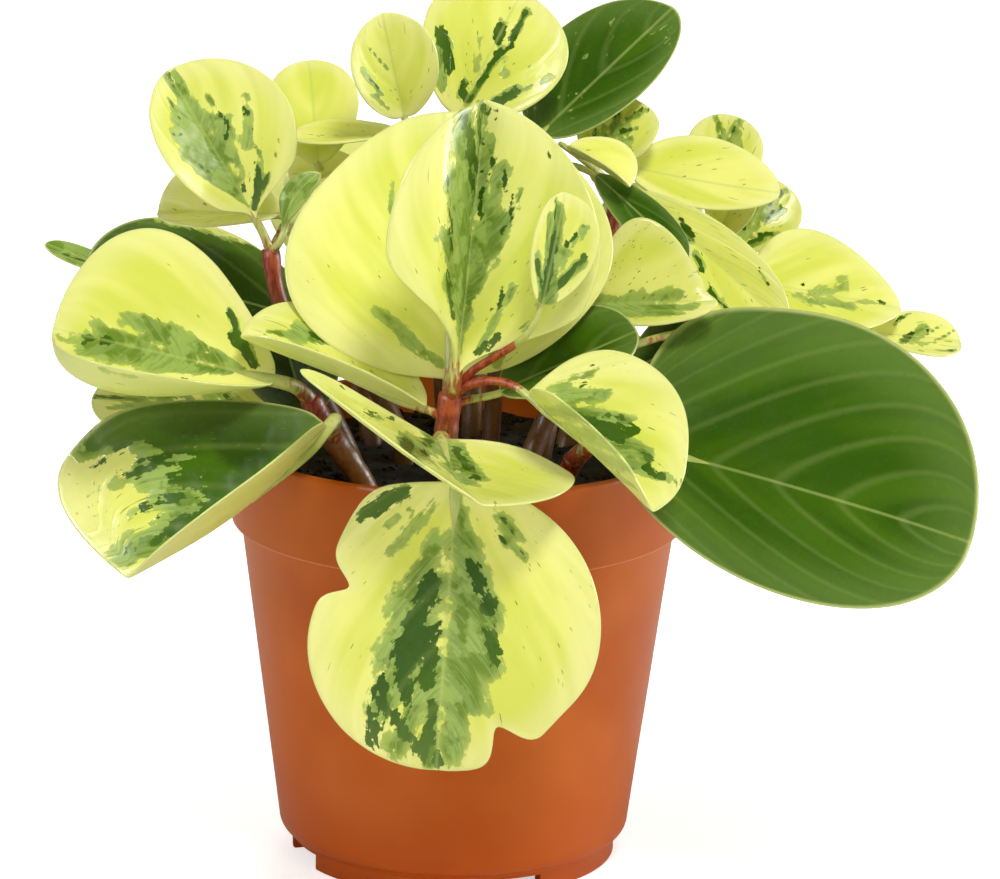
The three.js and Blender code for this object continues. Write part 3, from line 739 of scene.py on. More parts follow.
# What a blade has of its own, for both halves or as (left, right): how much broader the tip end
# is, how narrow the foot, how long a neck it has, how evenly it rolls (at 1 the margin is turned
# by the whole cupping angle all along, at 0 only where the blade is widest), how far the midrib
# sways to the left (mm), and bites out of the margin (or bulges, if negative) as (angle from the
# tip, depth, width in degrees)
OUTLINES = {
    "centre_tall": {"broad": (0, -0.1), "neck": (0.5, 0.3), "bites": [(35, -0.08, 25)]},
    "centre_round": {"broad": -0.15, "taper": 0, "bites": [(50, 0.07, 30), (-130, 0.06, 30)]},
    "left_low": {"broad": (0, 0.5), "taper": 0, "sway": 3.5, "bites": [(-20, -0.22, 22)]},
    "left_lipped": {"broad": (0.5, 0.15), "taper": (0.5, 0.5), "rolled": (0.9, 0)},
    "upper_left": {"broad": (0.12, 0), "taper": (0.5, 0.2), "neck": (0.2, 0.2)},
    "bud_left": {"neck": 0.45, "sway": 2.5},
    "big_green": {"broad": (0, 0.1), "taper": (0, 0.15), "bites": [(138, -0.13, 22)]},
    "apron": {"broad": 0, "taper": 0.1, "bites": [(150, -0.12, 30)]},
    "apron_hanging": {
        "broad": -0.03, "taper": 0,
        "bites": [(-110, 0.2, 6), (-108, 0.09, 22), (31, 0.27, 7), (54, 0.05, 16), (-148, -0.06, 12)],
    },
    "right_tipped": {"broad": (-0.55, -0.1), "bites": [(42, 0.16, 22), (18, 0.16, 12)]},
    "right_far": {"broad": -0.45},
    "right_folded": {"broad": -0.2},
    "right_front": {"broad": (-0.05, 0), "taper": 0, "bites": [(150, -0.18, 32), (15, -0.1, 20)]},
    "top_dark": {"broad": 0, "taper": 0.1},
}
GREEN_NODES = ("green_shoot", "green_right_stem")
print("stems:", len(PLANT), "leaves:", sum(len(stem["leaves"]) for stem in PLANT.values()))

# %% [markdown]
# ## The colours of a leaf, as strokes
#
# A variegated leaf has three layers of colour: cream-yellow where it has no green at all, a
# grey-green, and a dark green on top of that. The patches start at the midrib and run out along
# the side veins. They are laid down the way a painter would, with a few tapering strokes for each
# layer: from (s, q) to (s, q), where s runs from the foot (0) to the tip (1) and q from the
# midrib (0) to the left (1) or right (-1) margin, then the two radii and how solid it is.

# %% painted leaves
WHOLE = (0, 0, 1, 0, 2, 2)  # a stroke so wide that it covers a blade

PAINT = {
    "apron_hanging": {
        "mid": [
            (0.1, 0.03, 0.45, 0.28, 0.05, 0.1), (0.2, 0.05, 0.62, 0.28, 0.08, 0.1),
            (0.35, 0.08, 0.75, 0.2, 0.12, 0.1), (0.5, 0.1, 0.92, 0.1, 0.12, 0.1),
            (0.1, 0.28, 0.17, 0.42, 0.04, 0.04, 0.9), (0.17, 0.3, 0.23, 0.46, 0.04, 0.04, 0.9),
            (0.08, -0.12, 0.25, -0.42, 0.05, 0.07, 0.7), (0.1, -0.3, 0.2, -0.55, 0.03, 0.04, 0.7),
            (0.2, -0.1, 0.45, -0.35, 0.08, 0.12, 0.9), (0.35, -0.1, 0.6, -0.4, 0.1, 0.13),
            (0.5, -0.12, 0.78, -0.42, 0.1, 0.1), (0.65, -0.1, 0.92, -0.3, 0.1, 0.1, 0.9),
            (0.6, -0.05, 0.98, -0.05, 0.08, 0.05),
        ],
        "dark": [
            (0.35, -0.12, 0.6, -0.28, 0.07, 0.1), (0.5, -0.1, 0.68, -0.12, 0.06, 0.06),
            (0.55, -0.2, 0.68, -0.3, 0.06, 0.05, 0.9), (0.75, -0.05, 0.95, -0.1, 0.04, 0.04, 0.9),
            (0.7, -0.25, 0.78, -0.2, 0.05, 0.03, 0.8), (0.68, -0.42, 0.78, -0.42, 0.04, 0.04),
            (0.78, -0.47, 0.9, -0.45, 0.04, 0.05), (0.8, -0.33, 0.92, -0.15, 0.05, 0.05, 0.85),
            (0.9, 0.0, 0.98, 0, 0.05, 0.05, 0.7), (0.28, 0.13, 0.42, 0.28, 0.05, 0.06, 0.8),
            (0.48, 0.28, 0.6, 0.34, 0.05, 0.05, 0.85), (0.05, -0.35, 0.13, -0.63, 0.05, 0.05),
            (0.1, 0.28, 0.17, 0.42, 0.02, 0.02, 0.8), (0.17, 0.3, 0.23, 0.46, 0.02, 0.02, 0.8),
        ],
        "fleck": 0.1,
    },
    "centre_tall": {
        "mid": [
            (0.14, 0.02, 0.4, 0.4, 0.03, 0.1), (0.2, 0.04, 0.55, 0.5, 0.07, 0.1),
            (0.3, 0.04, 0.75, 0.48, 0.12, 0.11), (0.45, 0.04, 0.9, 0.42, 0.12, 0.1),
            (0.6, 0.04, 0.98, 0.38, 0.12, 0.1), (0.75, 0.02, 1, 0.12, 0.1, 0.08),
            (0.1, -0.02, 0.97, -0.02, 0.015, 0.03), (0.2, -0.04, 0.5, -0.16, 0.03, 0.06),
            (0.3, -0.05, 0.6, -0.22, 0.04, 0.08), (0.45, -0.05, 0.78, -0.2, 0.06, 0.05),
            (0.42, -0.2, 0.72, -0.36, 0.04, 0.05, 0.8), (0.62, -0.03, 0.88, -0.1, 0.06, 0.04),
            (0.12, -0.16, 0.38, -0.38, 0.03, 0.03), (0.22, -0.45, 0.34, -0.6, 0.03, 0.04, 0.7),
        ],
        "dark": [
            (0.12, -0.16, 0.19, -0.3, 0.03, 0.035), (0.28, -0.24, 0.37, -0.33, 0.025, 0.02),
            (0.24, 0.24, 0.42, 0.45, 0.03, 0.03, 0.7), (0.5, 0.42, 0.78, 0.56, 0.04, 0.03, 0.65),
            (0.68, 0.05, 0.76, 0.22, 0.05, 0.05), (0.76, 0.05, 0.84, 0.3, 0.05, 0.04),
            (0.84, 0.2, 1, 0.42, 0.05, 0.05, 0.9), (0.86, 0.02, 0.95, 0.15, 0.04, 0.05, 0.9),
            (0.5, -0.2, 0.66, -0.32, 0.025, 0.025, 0.85), (0.7, -0.25, 0.78, -0.22, 0.03, 0.02),
            (0.6, -0.06, 0.76, -0.08, 0.03, 0.03, 0.85), (0.8, -0.1, 0.85, -0.08, 0.02, 0.02),
            (0.96, -0.05, 1, 0.1, 0.05, 0.05), (0.82, -0.52, 0.86, -0.54, 0.015, 0.015, 0.8),
        ],
        "fleck": 0.12,
    },
    "left_lipped": {
        "mid": [
            (0.2, 0.02, 0.55, 0.12, 0.03, 0.1), (0.4, 0.02, 0.85, 0.12, 0.12, 0.1),
            (0.15, -0.03, 0.5, -0.22, 0.03, 0.05), (0.25, -0.02, 0.62, -0.24, 0.04, 0.06),
            (0.38, -0.02, 0.7, -0.22, 0.06, 0.06), (0.55, 0, 0.82, -0.1, 0.07, 0.05),
            (0.7, 0.02, 0.97, 0.05, 0.06, 0.03), (0.1, -0.08, 0.22, -0.3, 0.04, 0.05),
            (0.2, -0.3, 0.26, -0.46, 0.03, 0.03), (0.6, 1, 0.78, 1.02, 0.04, 0.04, 0.8),
            (0.4, 0.82, 0.7, 0.9, 0.015, 0.015, 0.6), (0.62, 0.3, 0.75, 0.3, 0.02, 0.02, 0.5),
        ],
        "dark": [
            (0.74, 0.02, 0.86, 0.03, 0.035, 0.04), (0.1, -0.08, 0.22, -0.28, 0.03, 0.05),
            (0.2, -0.3, 0.26, -0.46, 0.025, 0.03), (0.26, -0.08, 0.38, -0.18, 0.015, 0.02, 0.8),
            (0.86, 0.02, 0.95, 0.02, 0.025, 0.02, 0.7), (0.3, 0.18, 0.5, 0.24, 0.012, 0.012, 0.8),
            (0.5, 0.2, 0.66, 0.25, 0.02, 0.015, 0.7),
        ],
        "fleck": 0.05,
    },
    "left_low": {
        "mid": [
            (0, -0.3, 0.55, -0.5, 0.3, 0.45), (0.4, -0.9, 0.85, -1, 0.2, 0.12),
            (0.4, -0.15, 1, -0.15, 0.2, 0.12), (0.55, -0.4, 0.85, -0.4, 0.2, 0.1, 0.6),
            (0.5, -0.65, 0.85, -0.65, 0.12, 0.08, 0.6), (0.7, -0.6, 0.95, -0.7, 0.1, 0.05, 0.5),
            (0.05, 0.15, 0.18, 0.35, 0.05, 0.05, 0.6), (0.2, 0.1, 0.3, 0.2, 0.06, 0.06, 0.55),
            (0.3, 0.05, 0.9, 0.12, 0.06, 0.04, 0.5), (0.02, 0.05, 0.08, 0.2, 0.03, 0.03, 0.8),
        ],
        "dark": [
            # strokes above 1.2 are painted shade, where left_lipped hangs over this leaf
            (0, -0.35, 0.3, -0.4, 0.35, 0.35, 1.7), (0.2, -0.5, 0.5, -0.8, 0.22, 0.2, 1.6),
            (0.45, -0.9, 0.8, -1.02, 0.16, 0.07, 1.3), (0.15, -0.15, 0.5, -0.2, 0.1, 0.12, 1.5),
            (0.4, -0.3, 0.62, -0.45, 0.14, 0.08), (0.5, -0.12, 0.78, -0.16, 0.1, 0.05, 0.85),
            (0.6, -0.62, 0.8, -0.66, 0.07, 0.05, 0.75), (0.68, -0.35, 0.85, -0.42, 0.08, 0.05, 0.6),
            (0.78, -0.12, 0.98, -0.2, 0.06, 0.05, 0.5), (0.72, -0.82, 0.86, -0.85, 0.06, 0.04, 0.55),
            (0.14, 0.3, 0.18, 0.4, 0.03, 0.03, 0.6), (0.12, 0.05, 0.2, 0.12, 0.03, 0.03, 0.5),
        ],
        "fleck": 0.3,
    },
    "upper_left": {
        "mid": [
            (0.12, 0.02, 0.45, 0.5, 0.03, 0.08), (0.2, 0.04, 0.58, 0.58, 0.06, 0.08),
            (0.3, 0.04, 0.68, 0.52, 0.12, 0.1), (0.42, 0.04, 0.76, 0.36, 0.12, 0.08),
            (0.5, 0.04, 0.87, 0.27, 0.12, 0.04), (0.6, 0.02, 1, 0.06, 0.12, 0.06),
            (0.1, -0.01, 0.9, -0.02, 0.02, 0.05), (0.06, -0.04, 0.24, -0.3, 0.03, 0.06),
            (0.14, -0.2, 0.4, -0.48, 0.06, 0.04), (0.4, -0.36, 0.7, -0.66, 0.07, 0.02),
            (0.25, -0.1, 0.6, -0.3, 0.04, 0.06), (0.4, -0.06, 0.78, -0.28, 0.1, 0.03),
            (0.6, -0.04, 0.98, -0.08, 0.08, 0.05), (0.25, -0.5, 0.42, -0.78, 0.03, 0.02, 0.8),
            (0.14, -0.25, 0.2, -0.4, 0.03, 0.03),
        ],
        "dark": [
            (0.07, -0.06, 0.2, -0.28, 0.035, 0.05), (0.16, -0.2, 0.28, -0.34, 0.05, 0.03),
            (0.14, -0.25, 0.2, -0.4, 0.02, 0.02), (0.42, -0.38, 0.66, -0.62, 0.05, 0.02, 0.75),
            (0.34, -0.28, 0.46, -0.4, 0.03, 0.03, 0.7), (0.16, -0.08, 0.3, -0.14, 0.03, 0.03, 0.8),
            (0.48, -0.2, 0.7, -0.3, 0.04, 0.03, 0.7), (0.66, 0.4, 0.72, 0.56, 0.04, 0.03, 0.65),
            (0.72, 0.24, 0.87, 0.26, 0.04, 0.03, 0.65), (0.86, 0.04, 1, 0.04, 0.05, 0.05, 0.65),
            (0.34, 0.3, 0.5, 0.45, 0.05, 0.05, 0.6), (0.52, 0.64, 0.62, 0.7, 0.02, 0.02, 0.7),
        ],
        "fleck": 0.03,
    },
    "top_large": {
        "mid": [
            (0.15, 0.35, 0.42, 0.6, 0.1, 0.12), (0.13, -0.03, 0.88, -0.2, 0.05, 0.05, 1.1),
            (0.43, -0.3, 0.5, -0.3, 0.07, 0.06, 0.9), (0.2, -0.38, 0.35, -0.52, 0.1, 0.08),
            (0.15, 0.1, 0.27, 0.12, 0.05, 0.04, 0.9), (0.62, 0, 0.74, 0.06, 0.07, 0.07),
            (0.36, -0.58, 0.43, -0.68, 0.05, 0.04, 0.9), (0.48, -0.78, 0.56, -0.86, 0.04, 0.04, 0.9),
            (0.3, 0.05, 0.6, 0.2, 0.05, 0.08, 0.6),
        ],
        "dark": [
            (0.28, 0.38, 0.47, 0.67, 0.06, 0.09), (0.14, -0.03, 0.88, -0.2, 0.035, 0.045, 1.1),
            (0.2, -0.38, 0.35, -0.53, 0.07, 0.06), (0.16, 0.08, 0.27, 0.12, 0.04, 0.04, 0.9),
            (0.62, 0, 0.72, 0.04, 0.05, 0.05), (0.53, -0.04, 0.57, -0.05, 0.03, 0.03),
        ],
        "fleck": 0.12,
    },
    "right_front": {
        "mid": [
            (0.06, 0.2, 0.14, 0.58, 0.08, 0.06, 0.9), (0.12, 0.18, 0.3, 0.5, 0.1, 0.08),
            (0.2, 0.1, 0.52, 0.45, 0.1, 0.08), (0.35, 0.1, 0.75, 0.36, 0.12, 0.08),
            (0.6, 0.08, 0.96, 0.34, 0.1, 0.05), (0.2, 0.02, 0.9, 0.02, 0.04, 0.03),
            (0.15, -0.1, 0.45, -1, 0.1, 0.2), (0.3, -0.1, 0.7, -1, 0.15, 0.2),
            (0.5, -0.1, 0.85, -0.8, 0.15, 0.12), (0.7, -0.02, 0.88, -0.4, 0.1, 0.06),
        ],
        "dark": [
            (0.28, 0.14, 0.55, 0.3, 0.06, 0.1), (0.4, 0.4, 0.6, 0.44, 0.05, 0.03, 0.9),
            (0.66, 0.3, 0.8, 0.36, 0.03, 0.03, 0.8), (0.8, 0.25, 0.9, 0.3, 0.05, 0.04),
            (0.9, 0.3, 1, 0.4, 0.03, 0.03, 0.9), (0.08, 0.58, 0.12, 0.64, 0.03, 0.03, 0.8),
            (0.15, 0.42, 0.24, 0.46, 0.05, 0.04, 0.65), (0.3, 0.04, 0.44, -0.2, 0.03, 0.04, 0.8),
            (0.25, -0.45, 0.45, -0.95, 0.03, 0.08, 0.85), (0.58, -0.05, 0.62, -0.2, 0.02, 0.02, 0.7),
            (0.55, -0.55, 0.72, -0.85, 0.03, 0.04, 0.6), (0.74, -0.3, 0.78, -0.6, 0.02, 0.02, 0.7),
        ],
        "fleck": 0.12,
    },
    "apron": {
        "mid": [
            (0, 0, 0.5, 0.06, 0.1, 0.12), (0.04, -0.08, 0.5, -0.25, 0.08, 0.1, 0.9),
            (0.3, -0.25, 0.7, -0.38, 0.08, 0.06), (0.6, -0.3, 1, -0.36, 0.05, 0.03, 0.8),
            (0.1, -0.34, 0.4, -0.52, 0.03, 0.04, 0.7), (0.05, 0.15, 0.5, 0.22, 0.05, 0.05),
            (0.7, -0.15, 1, -0.2, 0.04, 0.03, 0.6), (0.9, 0.12, 1, 0.15, 0.04, 0.03, 0.7),
        ],
        "dark": [
            (0.08, 0.1, 0.48, 0.17, 0.035, 0.04), (0.1, -0.1, 0.4, -0.2, 0.03, 0.03, 0.75),
            (0.34, -0.28, 0.66, -0.38, 0.04, 0.04), (0.66, -0.36, 0.98, -0.4, 0.02, 0.015, 0.8),
            (0.08, -0.32, 0.18, -0.36, 0.02, 0.015, 0.8), (0.18, -0.42, 0.38, -0.54, 0.02, 0.025, 0.85),
            (0.12, -0.6, 0.24, -0.68, 0.02, 0.02, 0.6), (0.18, 0.28, 0.28, 0.28, 0.015, 0.015, 0.7),
            (0.8, -0.18, 1, -0.2, 0.015, 0.015, 0.7), (0.92, 0.14, 1, 0.15, 0.02, 0.02, 0.7),
        ],
        "fleck": 0.1,
    },
    "centre_round": {
        "mid": [
            (0.1, 0.14, 0.25, 0.42, 0.035, 0.05, 0.85), (0.06, 0.05, 0.16, 0.3, 0.03, 0.04, 0.85),
            (0.1, -0.3, 0.5, -0.5, 0.1, 0.12, 0.8), (0.62, 0.35, 0.75, 0.33, 0.03, 0.03, 0.7),
        ],
        "dark": [(0.2, -0.5, 0.4, -0.65, 0.05, 0.05, 0.8)],
        "fleck": 0.04,
    },
    "centre_small": {
        "mid": [
            (0.05, 0, 0.85, 0.1, 0.3, 0.16, 1.1), (0.1, 0.15, 0.45, 0.7, 0.12, 0.14),
            (0.3, 0.2, 0.8, 0.5, 0.12, 0.1), (0.12, -0.1, 0.45, -0.7, 0.1, 0.12),
            (0.3, -0.1, 0.75, -0.6, 0.1, 0.1), (0.7, 0.1, 0.95, 0.35, 0.08, 0.06),
        ],
        "dark": [
            (0.08, 0.06, 0.6, 0.12, 0.12, 0.14, 1.1), (0.2, 0.3, 0.4, 0.62, 0.08, 0.09),
            (0.2, -0.3, 0.5, -0.7, 0.08, 0.08), (0.55, 0.1, 0.92, 0.33, 0.06, 0.05),
            (0.5, -0.2, 0.72, -0.5, 0.05, 0.06, 0.9),
        ],
        "fleck": 0.05,
    },
    "left_dark": {
        "mid": [(0, 0, 1, 0, 0.86, 0.86), (0.3, 0.9, 0.5, 0.95, 0.1, 0.1, 0.8)],
        # the 1.7 stroke is painted shade, for a leaf deep inside the bush
        "dark": [(0, 0, 1, 0, 0.78, 0.78, 1.7), (0.62, 0.5, 0.75, 1, 0.1, 0.1)],
        "fleck": 0.3,
    },
    "left_tip": {"mid": [WHOLE], "dark": [(0.2, 0.3, 0.8, 0.4, 0.1, 0.1, 0.7)], "fleck": 0.2},
    "bud_left": {"mid": [(*WHOLE, 0.8)], "dark": [], "fleck": 0},
    "top_small": {
        "mid": [
            (0.3, 0.4, 0.6, 0.75, 0.06, 0.06, 0.9), (0.5, 0.15, 0.75, 0.45, 0.06, 0.06, 0.8),
            (0.15, 0.3, 0.35, 0.6, 0.05, 0.05, 0.8),
        ],
        "dark": [(0.35, 0.45, 0.55, 0.7, 0.04, 0.04, 0.8)],
        "fleck": 0.15,
    },
    "left_front": {
        "mid": [
            (0.42, -0.46, 0.75, -0.4, 0.04, 0.15), (0.6, -0.4, 0.9, -0.2, 0.1, 0.05),
            (0.55, -0.2, 0.8, -0.12, 0.04, 0.04, 0.7), (0.4, 0.3, 0.7, 0.5, 0.05, 0.05, 0.4),
            (0.2, 0.5, 0.5, 0.8, 0.05, 0.05, 0.35),
        ],
        "dark": [(0.46, -0.46, 0.66, -0.44, 0.03, 0.09, 0.75)],
        "fleck": 0.4,
    },
    "right_far": {
        "mid": [
            (0.3, -0.2, 0.62, 0.2, 0.12, 0.12, 0.72), (0.4, -0.25, 0.66, -0.2, 0.15, 0.12, 0.78),
            (0.7, -0.05, 0.88, 0.02, 0.08, 0.05, 0.7),
        ],
        "dark": [(0.32, 0.05, 0.37, 0.12, 0.03, 0.03), (0.85, 0.04, 0.9, 0.02, 0.04, 0.03)],
        "fleck": 0.12,
    },
    "right_speckled": {
        "mid": [
            (0.24, 0.3, 0.36, -0.02, 0.06, 0.09), (0.42, -0.12, 0.52, -0.25, 0.07, 0.07),
            (0.6, -0.42, 0.75, -0.42, 0.05, 0.05), (0.7, 0.7, 0.8, 0.5, 0.05, 0.05, 0.8),
        ],
        "dark": [
            (0.24, 0.3, 0.36, -0.02, 0.04, 0.08), (0.3, 0.25, 0.38, 0.1, 0.03, 0.03),
            (0.42, -0.12, 0.52, -0.25, 0.05, 0.06), (0.6, -0.42, 0.75, -0.42, 0.04, 0.04),
            (0.7, 0.72, 0.72, 0.66, 0.04, 0.04), (0.78, 0.58, 0.81, 0.5, 0.03, 0.03),
        ],
        "fleck": 0.55,
    },
    "right_tipped": {
        "mid": [
            (0.05, 0, 0.7, 0.1, 0.15, 0.1, 0.8), (0.1, -0.2, 0.8, -0.25, 0.2, 0.15, 0.9),
            (0.2, -0.5, 0.7, -0.5, 0.2, 0.15, 0.8),
        ],
        "dark": [],
        "fleck": 0.75,
    },
    "right_striped": {
        "mid": [
            (0.3, 0.3, 0.5, 0.9, 0.04, 0.06), (0.34, -0.5, 0.64, 0.45, 0.09, 0.1),
            (0.42, -0.55, 0.8, 0.5, 0.06, 0.05, 0.9), (0.55, -0.5, 0.95, 0.4, 0.06, 0.05, 0.85),
            (0.5, -0.85, 0.75, -0.7, 0.05, 0.04, 0.8), (0.8, -0.7, 0.92, -0.5, 0.1, 0.05, 0.8),
            (0.7, -0.3, 0.98, 0.0, 0.06, 0.05, 0.75),
        ],
        "dark": [
            (0.3, 0.4, 0.42, 0.7, 0.03, 0.05, 0.9), (0.36, -0.45, 0.52, 0.15, 0.07, 0.08),
            (0.42, -0.5, 0.55, -0.2, 0.03, 0.03, 0.8), (0.8, -0.65, 0.88, -0.55, 0.05, 0.05, 0.8),
            (0.62, 0.2, 0.75, 0.45, 0.03, 0.03, 0.75),
        ],
        "fleck": 0.05,
    },
}
# Plain yellow leaves with their share of flecks, and all-green ones with how dark they are; above
# 1.2 the green goes nearly black, as painted shade for leaves deep inside the bush
PLAIN_YELLOW = {
    "right_folded": 0.3, "right_yellow": 0.1, "right_pale": 0.3, "left_flat": 0.5,
    "upper_left_round": 0.06, "upper_left_flat": 0.3, "upper_left_low": 0.2,
}
DARK_LEAVES = {
    "big_green": 1.0, "top_dark": 0.8, "right_wavy": 0.9, "green_behind": 0.85,
    "glossy_low": 1.1, "left_inner": 1.9, "right_under": 1.9,
}
print("painted leaves:", len(PAINT), "plain ones:", len(PLAIN_YELLOW), "dark ones:", len(DARK_LEAVES))

# %% [markdown]
# The leaves that aren't painted one by one, most of them at the back, get strokes by a seeded
# chance: from points along the midrib out along the side veins, now far, now near. A stroke's
# value at a point is 1 well inside it and 0 well outside, and the strongest stroke wins. The
# patches could be an image on each blade, but strokes need no unwrapping and no files.

# %% strokes into fields
def chance_strokes(name):
    """Six strokes on each half, most of them with a darker one on top."""
    chance = random.Random(name)
    mid, dark = [], []
    for side in (1, -1):
        for i in range(6):
            start = 0.03 + 0.14 * i
            run = chance.uniform(0.2, 0.36)
            reach = side * chance.uniform(0.3, 0.72) * (1 - 0.4 * start)
            solid = chance.uniform(0.75, 1)
            mid.append((start, 0.03 * side, start + run, reach, 0.1, 0.07, solid))
            if chance.random() < 0.6:
                dark.append((start + 0.1, reach / 3, start + run, reach * 0.9, 0.06, 0.04, solid * 0.85))
    return {"mid": mid, "dark": dark, "fleck": chance.uniform(0.05, 0.3)}


def paint_of(name):
    """A blade's strokes: its own, those of an all-green or plain yellow leaf, or by chance."""
    if name in PAINT:
        return PAINT[name]
    if name in DARK_LEAVES:
        return {"mid": [WHOLE], "dark": [(*WHOLE, DARK_LEAVES[name])], "fleck": 0}
    if name in PLAIN_YELLOW:
        return {"mid": [], "dark": [], "fleck": PLAIN_YELLOW[name]}
    return chance_strokes(name)


def stroke_field(strokes, s, q, aspect):
    """How strongly each point (s, q) is painted. aspect is a blade's length over its half width."""
    field = np.zeros_like(s)
    for s0, q0, s1, q1, r0, r1, *solid in strokes:
        run = np.array(((s1 - s0) * aspect, q1 - q0))
        along = ((s - s0) * aspect * run[0] + (q - q0) * run[1]) / (run @ run)
        along = np.clip(along, 0, 1)
        gap = np.hypot((s - s0) * aspect - along * run[0], q - q0 - along * run[1])
        radius = r0 + (r1 - r0) * along
        inside = np.clip(0.5 + 0.5 * (radius - gap) / np.clip(radius, 0.03, 0.12), 0, 1)
        field = np.maximum(field, inside * (solid[0] if solid else 1))
    return field


print("strokes by chance on rear_high:", len(chance_strokes("rear_high")["mid"]))

# %% [markdown]
# ## The leaf's material
#
# The strokes arrive as an attribute on the blade's points, together with the place of each point
# across and along the side veins. The group below turns them into colour. It adds noise to each
# stroke's value, one part of it stretched along the veins and one part free, and cuts the sum
# with a soft step, so a smooth stroke gets the feathered, splashed edge of a real patch. The same
# group serves the upper skin and the paler underside.

# %% variegation group
variegation, entry, leave = new_group(
    "variegation",
    [("Paint", "Color"), ("Veins", "Vector"), ("Object", "Vector")],
    [("Color", "Color"), ("Green", "Float"), ("Dark", "Float"), ("Height", "Float")],
)
veins, here = entry.outputs["Veins"], entry.outputs["Object"]
parts = add_node(variegation, "SeparateColor", [(0, entry.outputs["Paint"])])
green_paint, dark_paint, fleck_paint = parts.outputs


def on_veins(across, along, shift):
    """The place on the blade, with these lengths in mm across and along the veins as units."""
    return stretched(variegation, veins, (1 / across, 1 / along, 1), shift)


def vein_noise(across, along, shift, detail, roughness=0.55):
    """Cloudy noise that is drawn out along the side veins."""
    return noise(variegation, on_veins(across, along, shift), 1.0, detail, roughness)


def splashed(paint, shift, wide, long, strength, soft):
    """The painted amount with noise on it, part along the veins and part free, cut to a mask."""
    streaks = vein_noise(wide, long, shift, 4, 0.62)
    flakes = noise(variegation, here, 1000 / wide, 3, 0.6)
    centred = reckon(variegation, "SUBTRACT", reckon(variegation, "ADD", flakes, streaks), 1.0)
    total = reckon(variegation, "MULTIPLY_ADD", centred, strength, paint)
    return edge_step(variegation, total, 0.5 - soft, 0.5 + soft)


green = splashed(green_paint, 1.7, 4.5, 9.0, 1.0, 0.06)
dark = splashed(dark_paint, 9.1, 3.0, 5.0, 1.2, 0.03)
# painted shade: dark paint stronger than 1.2 turns the dark green nearly black
painted_shade = edge_step(variegation, dark_paint, 1.2, 1.9)
print("masks for the two greens take", len(variegation.nodes), "nodes")

# %% [markdown]
# Flecks are dots of green a millimetre or so across, strewn over the yellow. A cell pattern gives
# every cell a number by chance, and a dot is drawn in those cells whose number is lower than the
# leaf's share of flecks. A little noise on the distance makes the dots ragged.

# %% flecks
tree = variegation
dots = add_node(tree, "TexVoronoi", [("Vector", on_veins(1.5, 1.8, 0)), ("Scale", 1.0)])
chosen = add_node(tree, "SeparateColor", [(0, dots.outputs["Color"])]).outputs[0]
ragged = reckon(tree, "MULTIPLY_ADD", vein_noise(0.7, 0.9, 6, 2), 0.5, dots.outputs["Distance"])
near = edge_step(tree, ragged, 0.36, 0.48, 1.0, 0.0)
wanted = reckon(tree, "LESS_THAN", chosen, fleck_paint)
fleck = reckon(tree, "MULTIPLY", near, wanted)
print("with flecks:", len(tree.nodes), "nodes")

# %% [markdown]
# The colours are then laid over each other as the tissue lies: yellow below, grey-green on it,
# dark green on top, and the flecks last. No tone is even. Slow noise drifts between two yellows
# and two dark greens, and the grey-green is blotched, streaked and paler where a stroke is faint.
# Where a dark stroke is stronger than 1.2 the dark green goes nearly black: painted shade, for
# leaves that lie deep in the bush. Fine noise along the veins and a soft wrinkle, deeper where the
# blade is green, make the relief.
# Fine noise along the veins and a soft wrinkle, deeper where the blade is green, make the relief.

# %% colours and relief of a blade
shade = edge_step(tree, vein_noise(16, 24, 5, 2), 0.35, 0.65)
blotch = edge_step(tree, noise(tree, here, 130.0, 3), 0.46, 0.54)
streak = edge_step(tree, vein_noise(1.3, 6, 4, 3), 0.46, 0.6)
faint = edge_step(tree, green_paint, 0.45, 0.85, 0.75, 0.0)
yellow = blend(tree, shade, screen_colour(247, 248, 134), screen_colour(228, 234, 96))
grey_green = blend(tree, blotch, screen_colour(164, 190, 92), screen_colour(116, 146, 42))
grey_green = blend(tree, streak, grey_green, screen_colour(142, 168, 80))
grey_green = blend(tree, faint, grey_green, screen_colour(190, 206, 96))
deep_green = blend(tree, shade, screen_colour(54, 92, 3), screen_colour(70, 108, 6))
# painted shade: the nearly black green of leaves deep in the bush
deep_green = blend(tree, painted_shade, deep_green, screen_colour(44, 70, 6))
colour = blend(tree, green, yellow, grey_green)
colour = blend(tree, dark, colour, deep_green)
colour = blend(tree, reckon(tree, "MULTIPLY", fleck, 0.8), colour, screen_colour(100, 130, 40))
fill(leave.inputs["Color"], colour)
fill(leave.inputs["Green"], green)
fill(leave.inputs["Dark"], dark)
depth = reckon(tree, "MULTIPLY_ADD", green, 0.7, 0.3)
wrinkle = reckon(tree, "MULTIPLY", noise(tree, here, 170.0, 1), depth)
fill(leave.inputs["Height"], reckon(tree, "MULTIPLY_ADD", vein_noise(0.5, 0.9, 2, 2), 0.1, wrinkle))
print("variegation group has", len(tree.nodes), "nodes")

# %% [markdown]
# The side veins show as very faint lines, paler than the dark green around them. They are drawn
# with the same spacing that the blade's mesh is quilted with, so that line and hollow agree.
# Towards the margin the dark green of a leaf gets paler, which is a painted sheen, and its yellow
# creamier, which is a painted highlight; the rim itself is pale. How near the margin a point is,
# is the fourth number of the paint attribute.

# %% leaf materials
VEIN_SPACING = 16


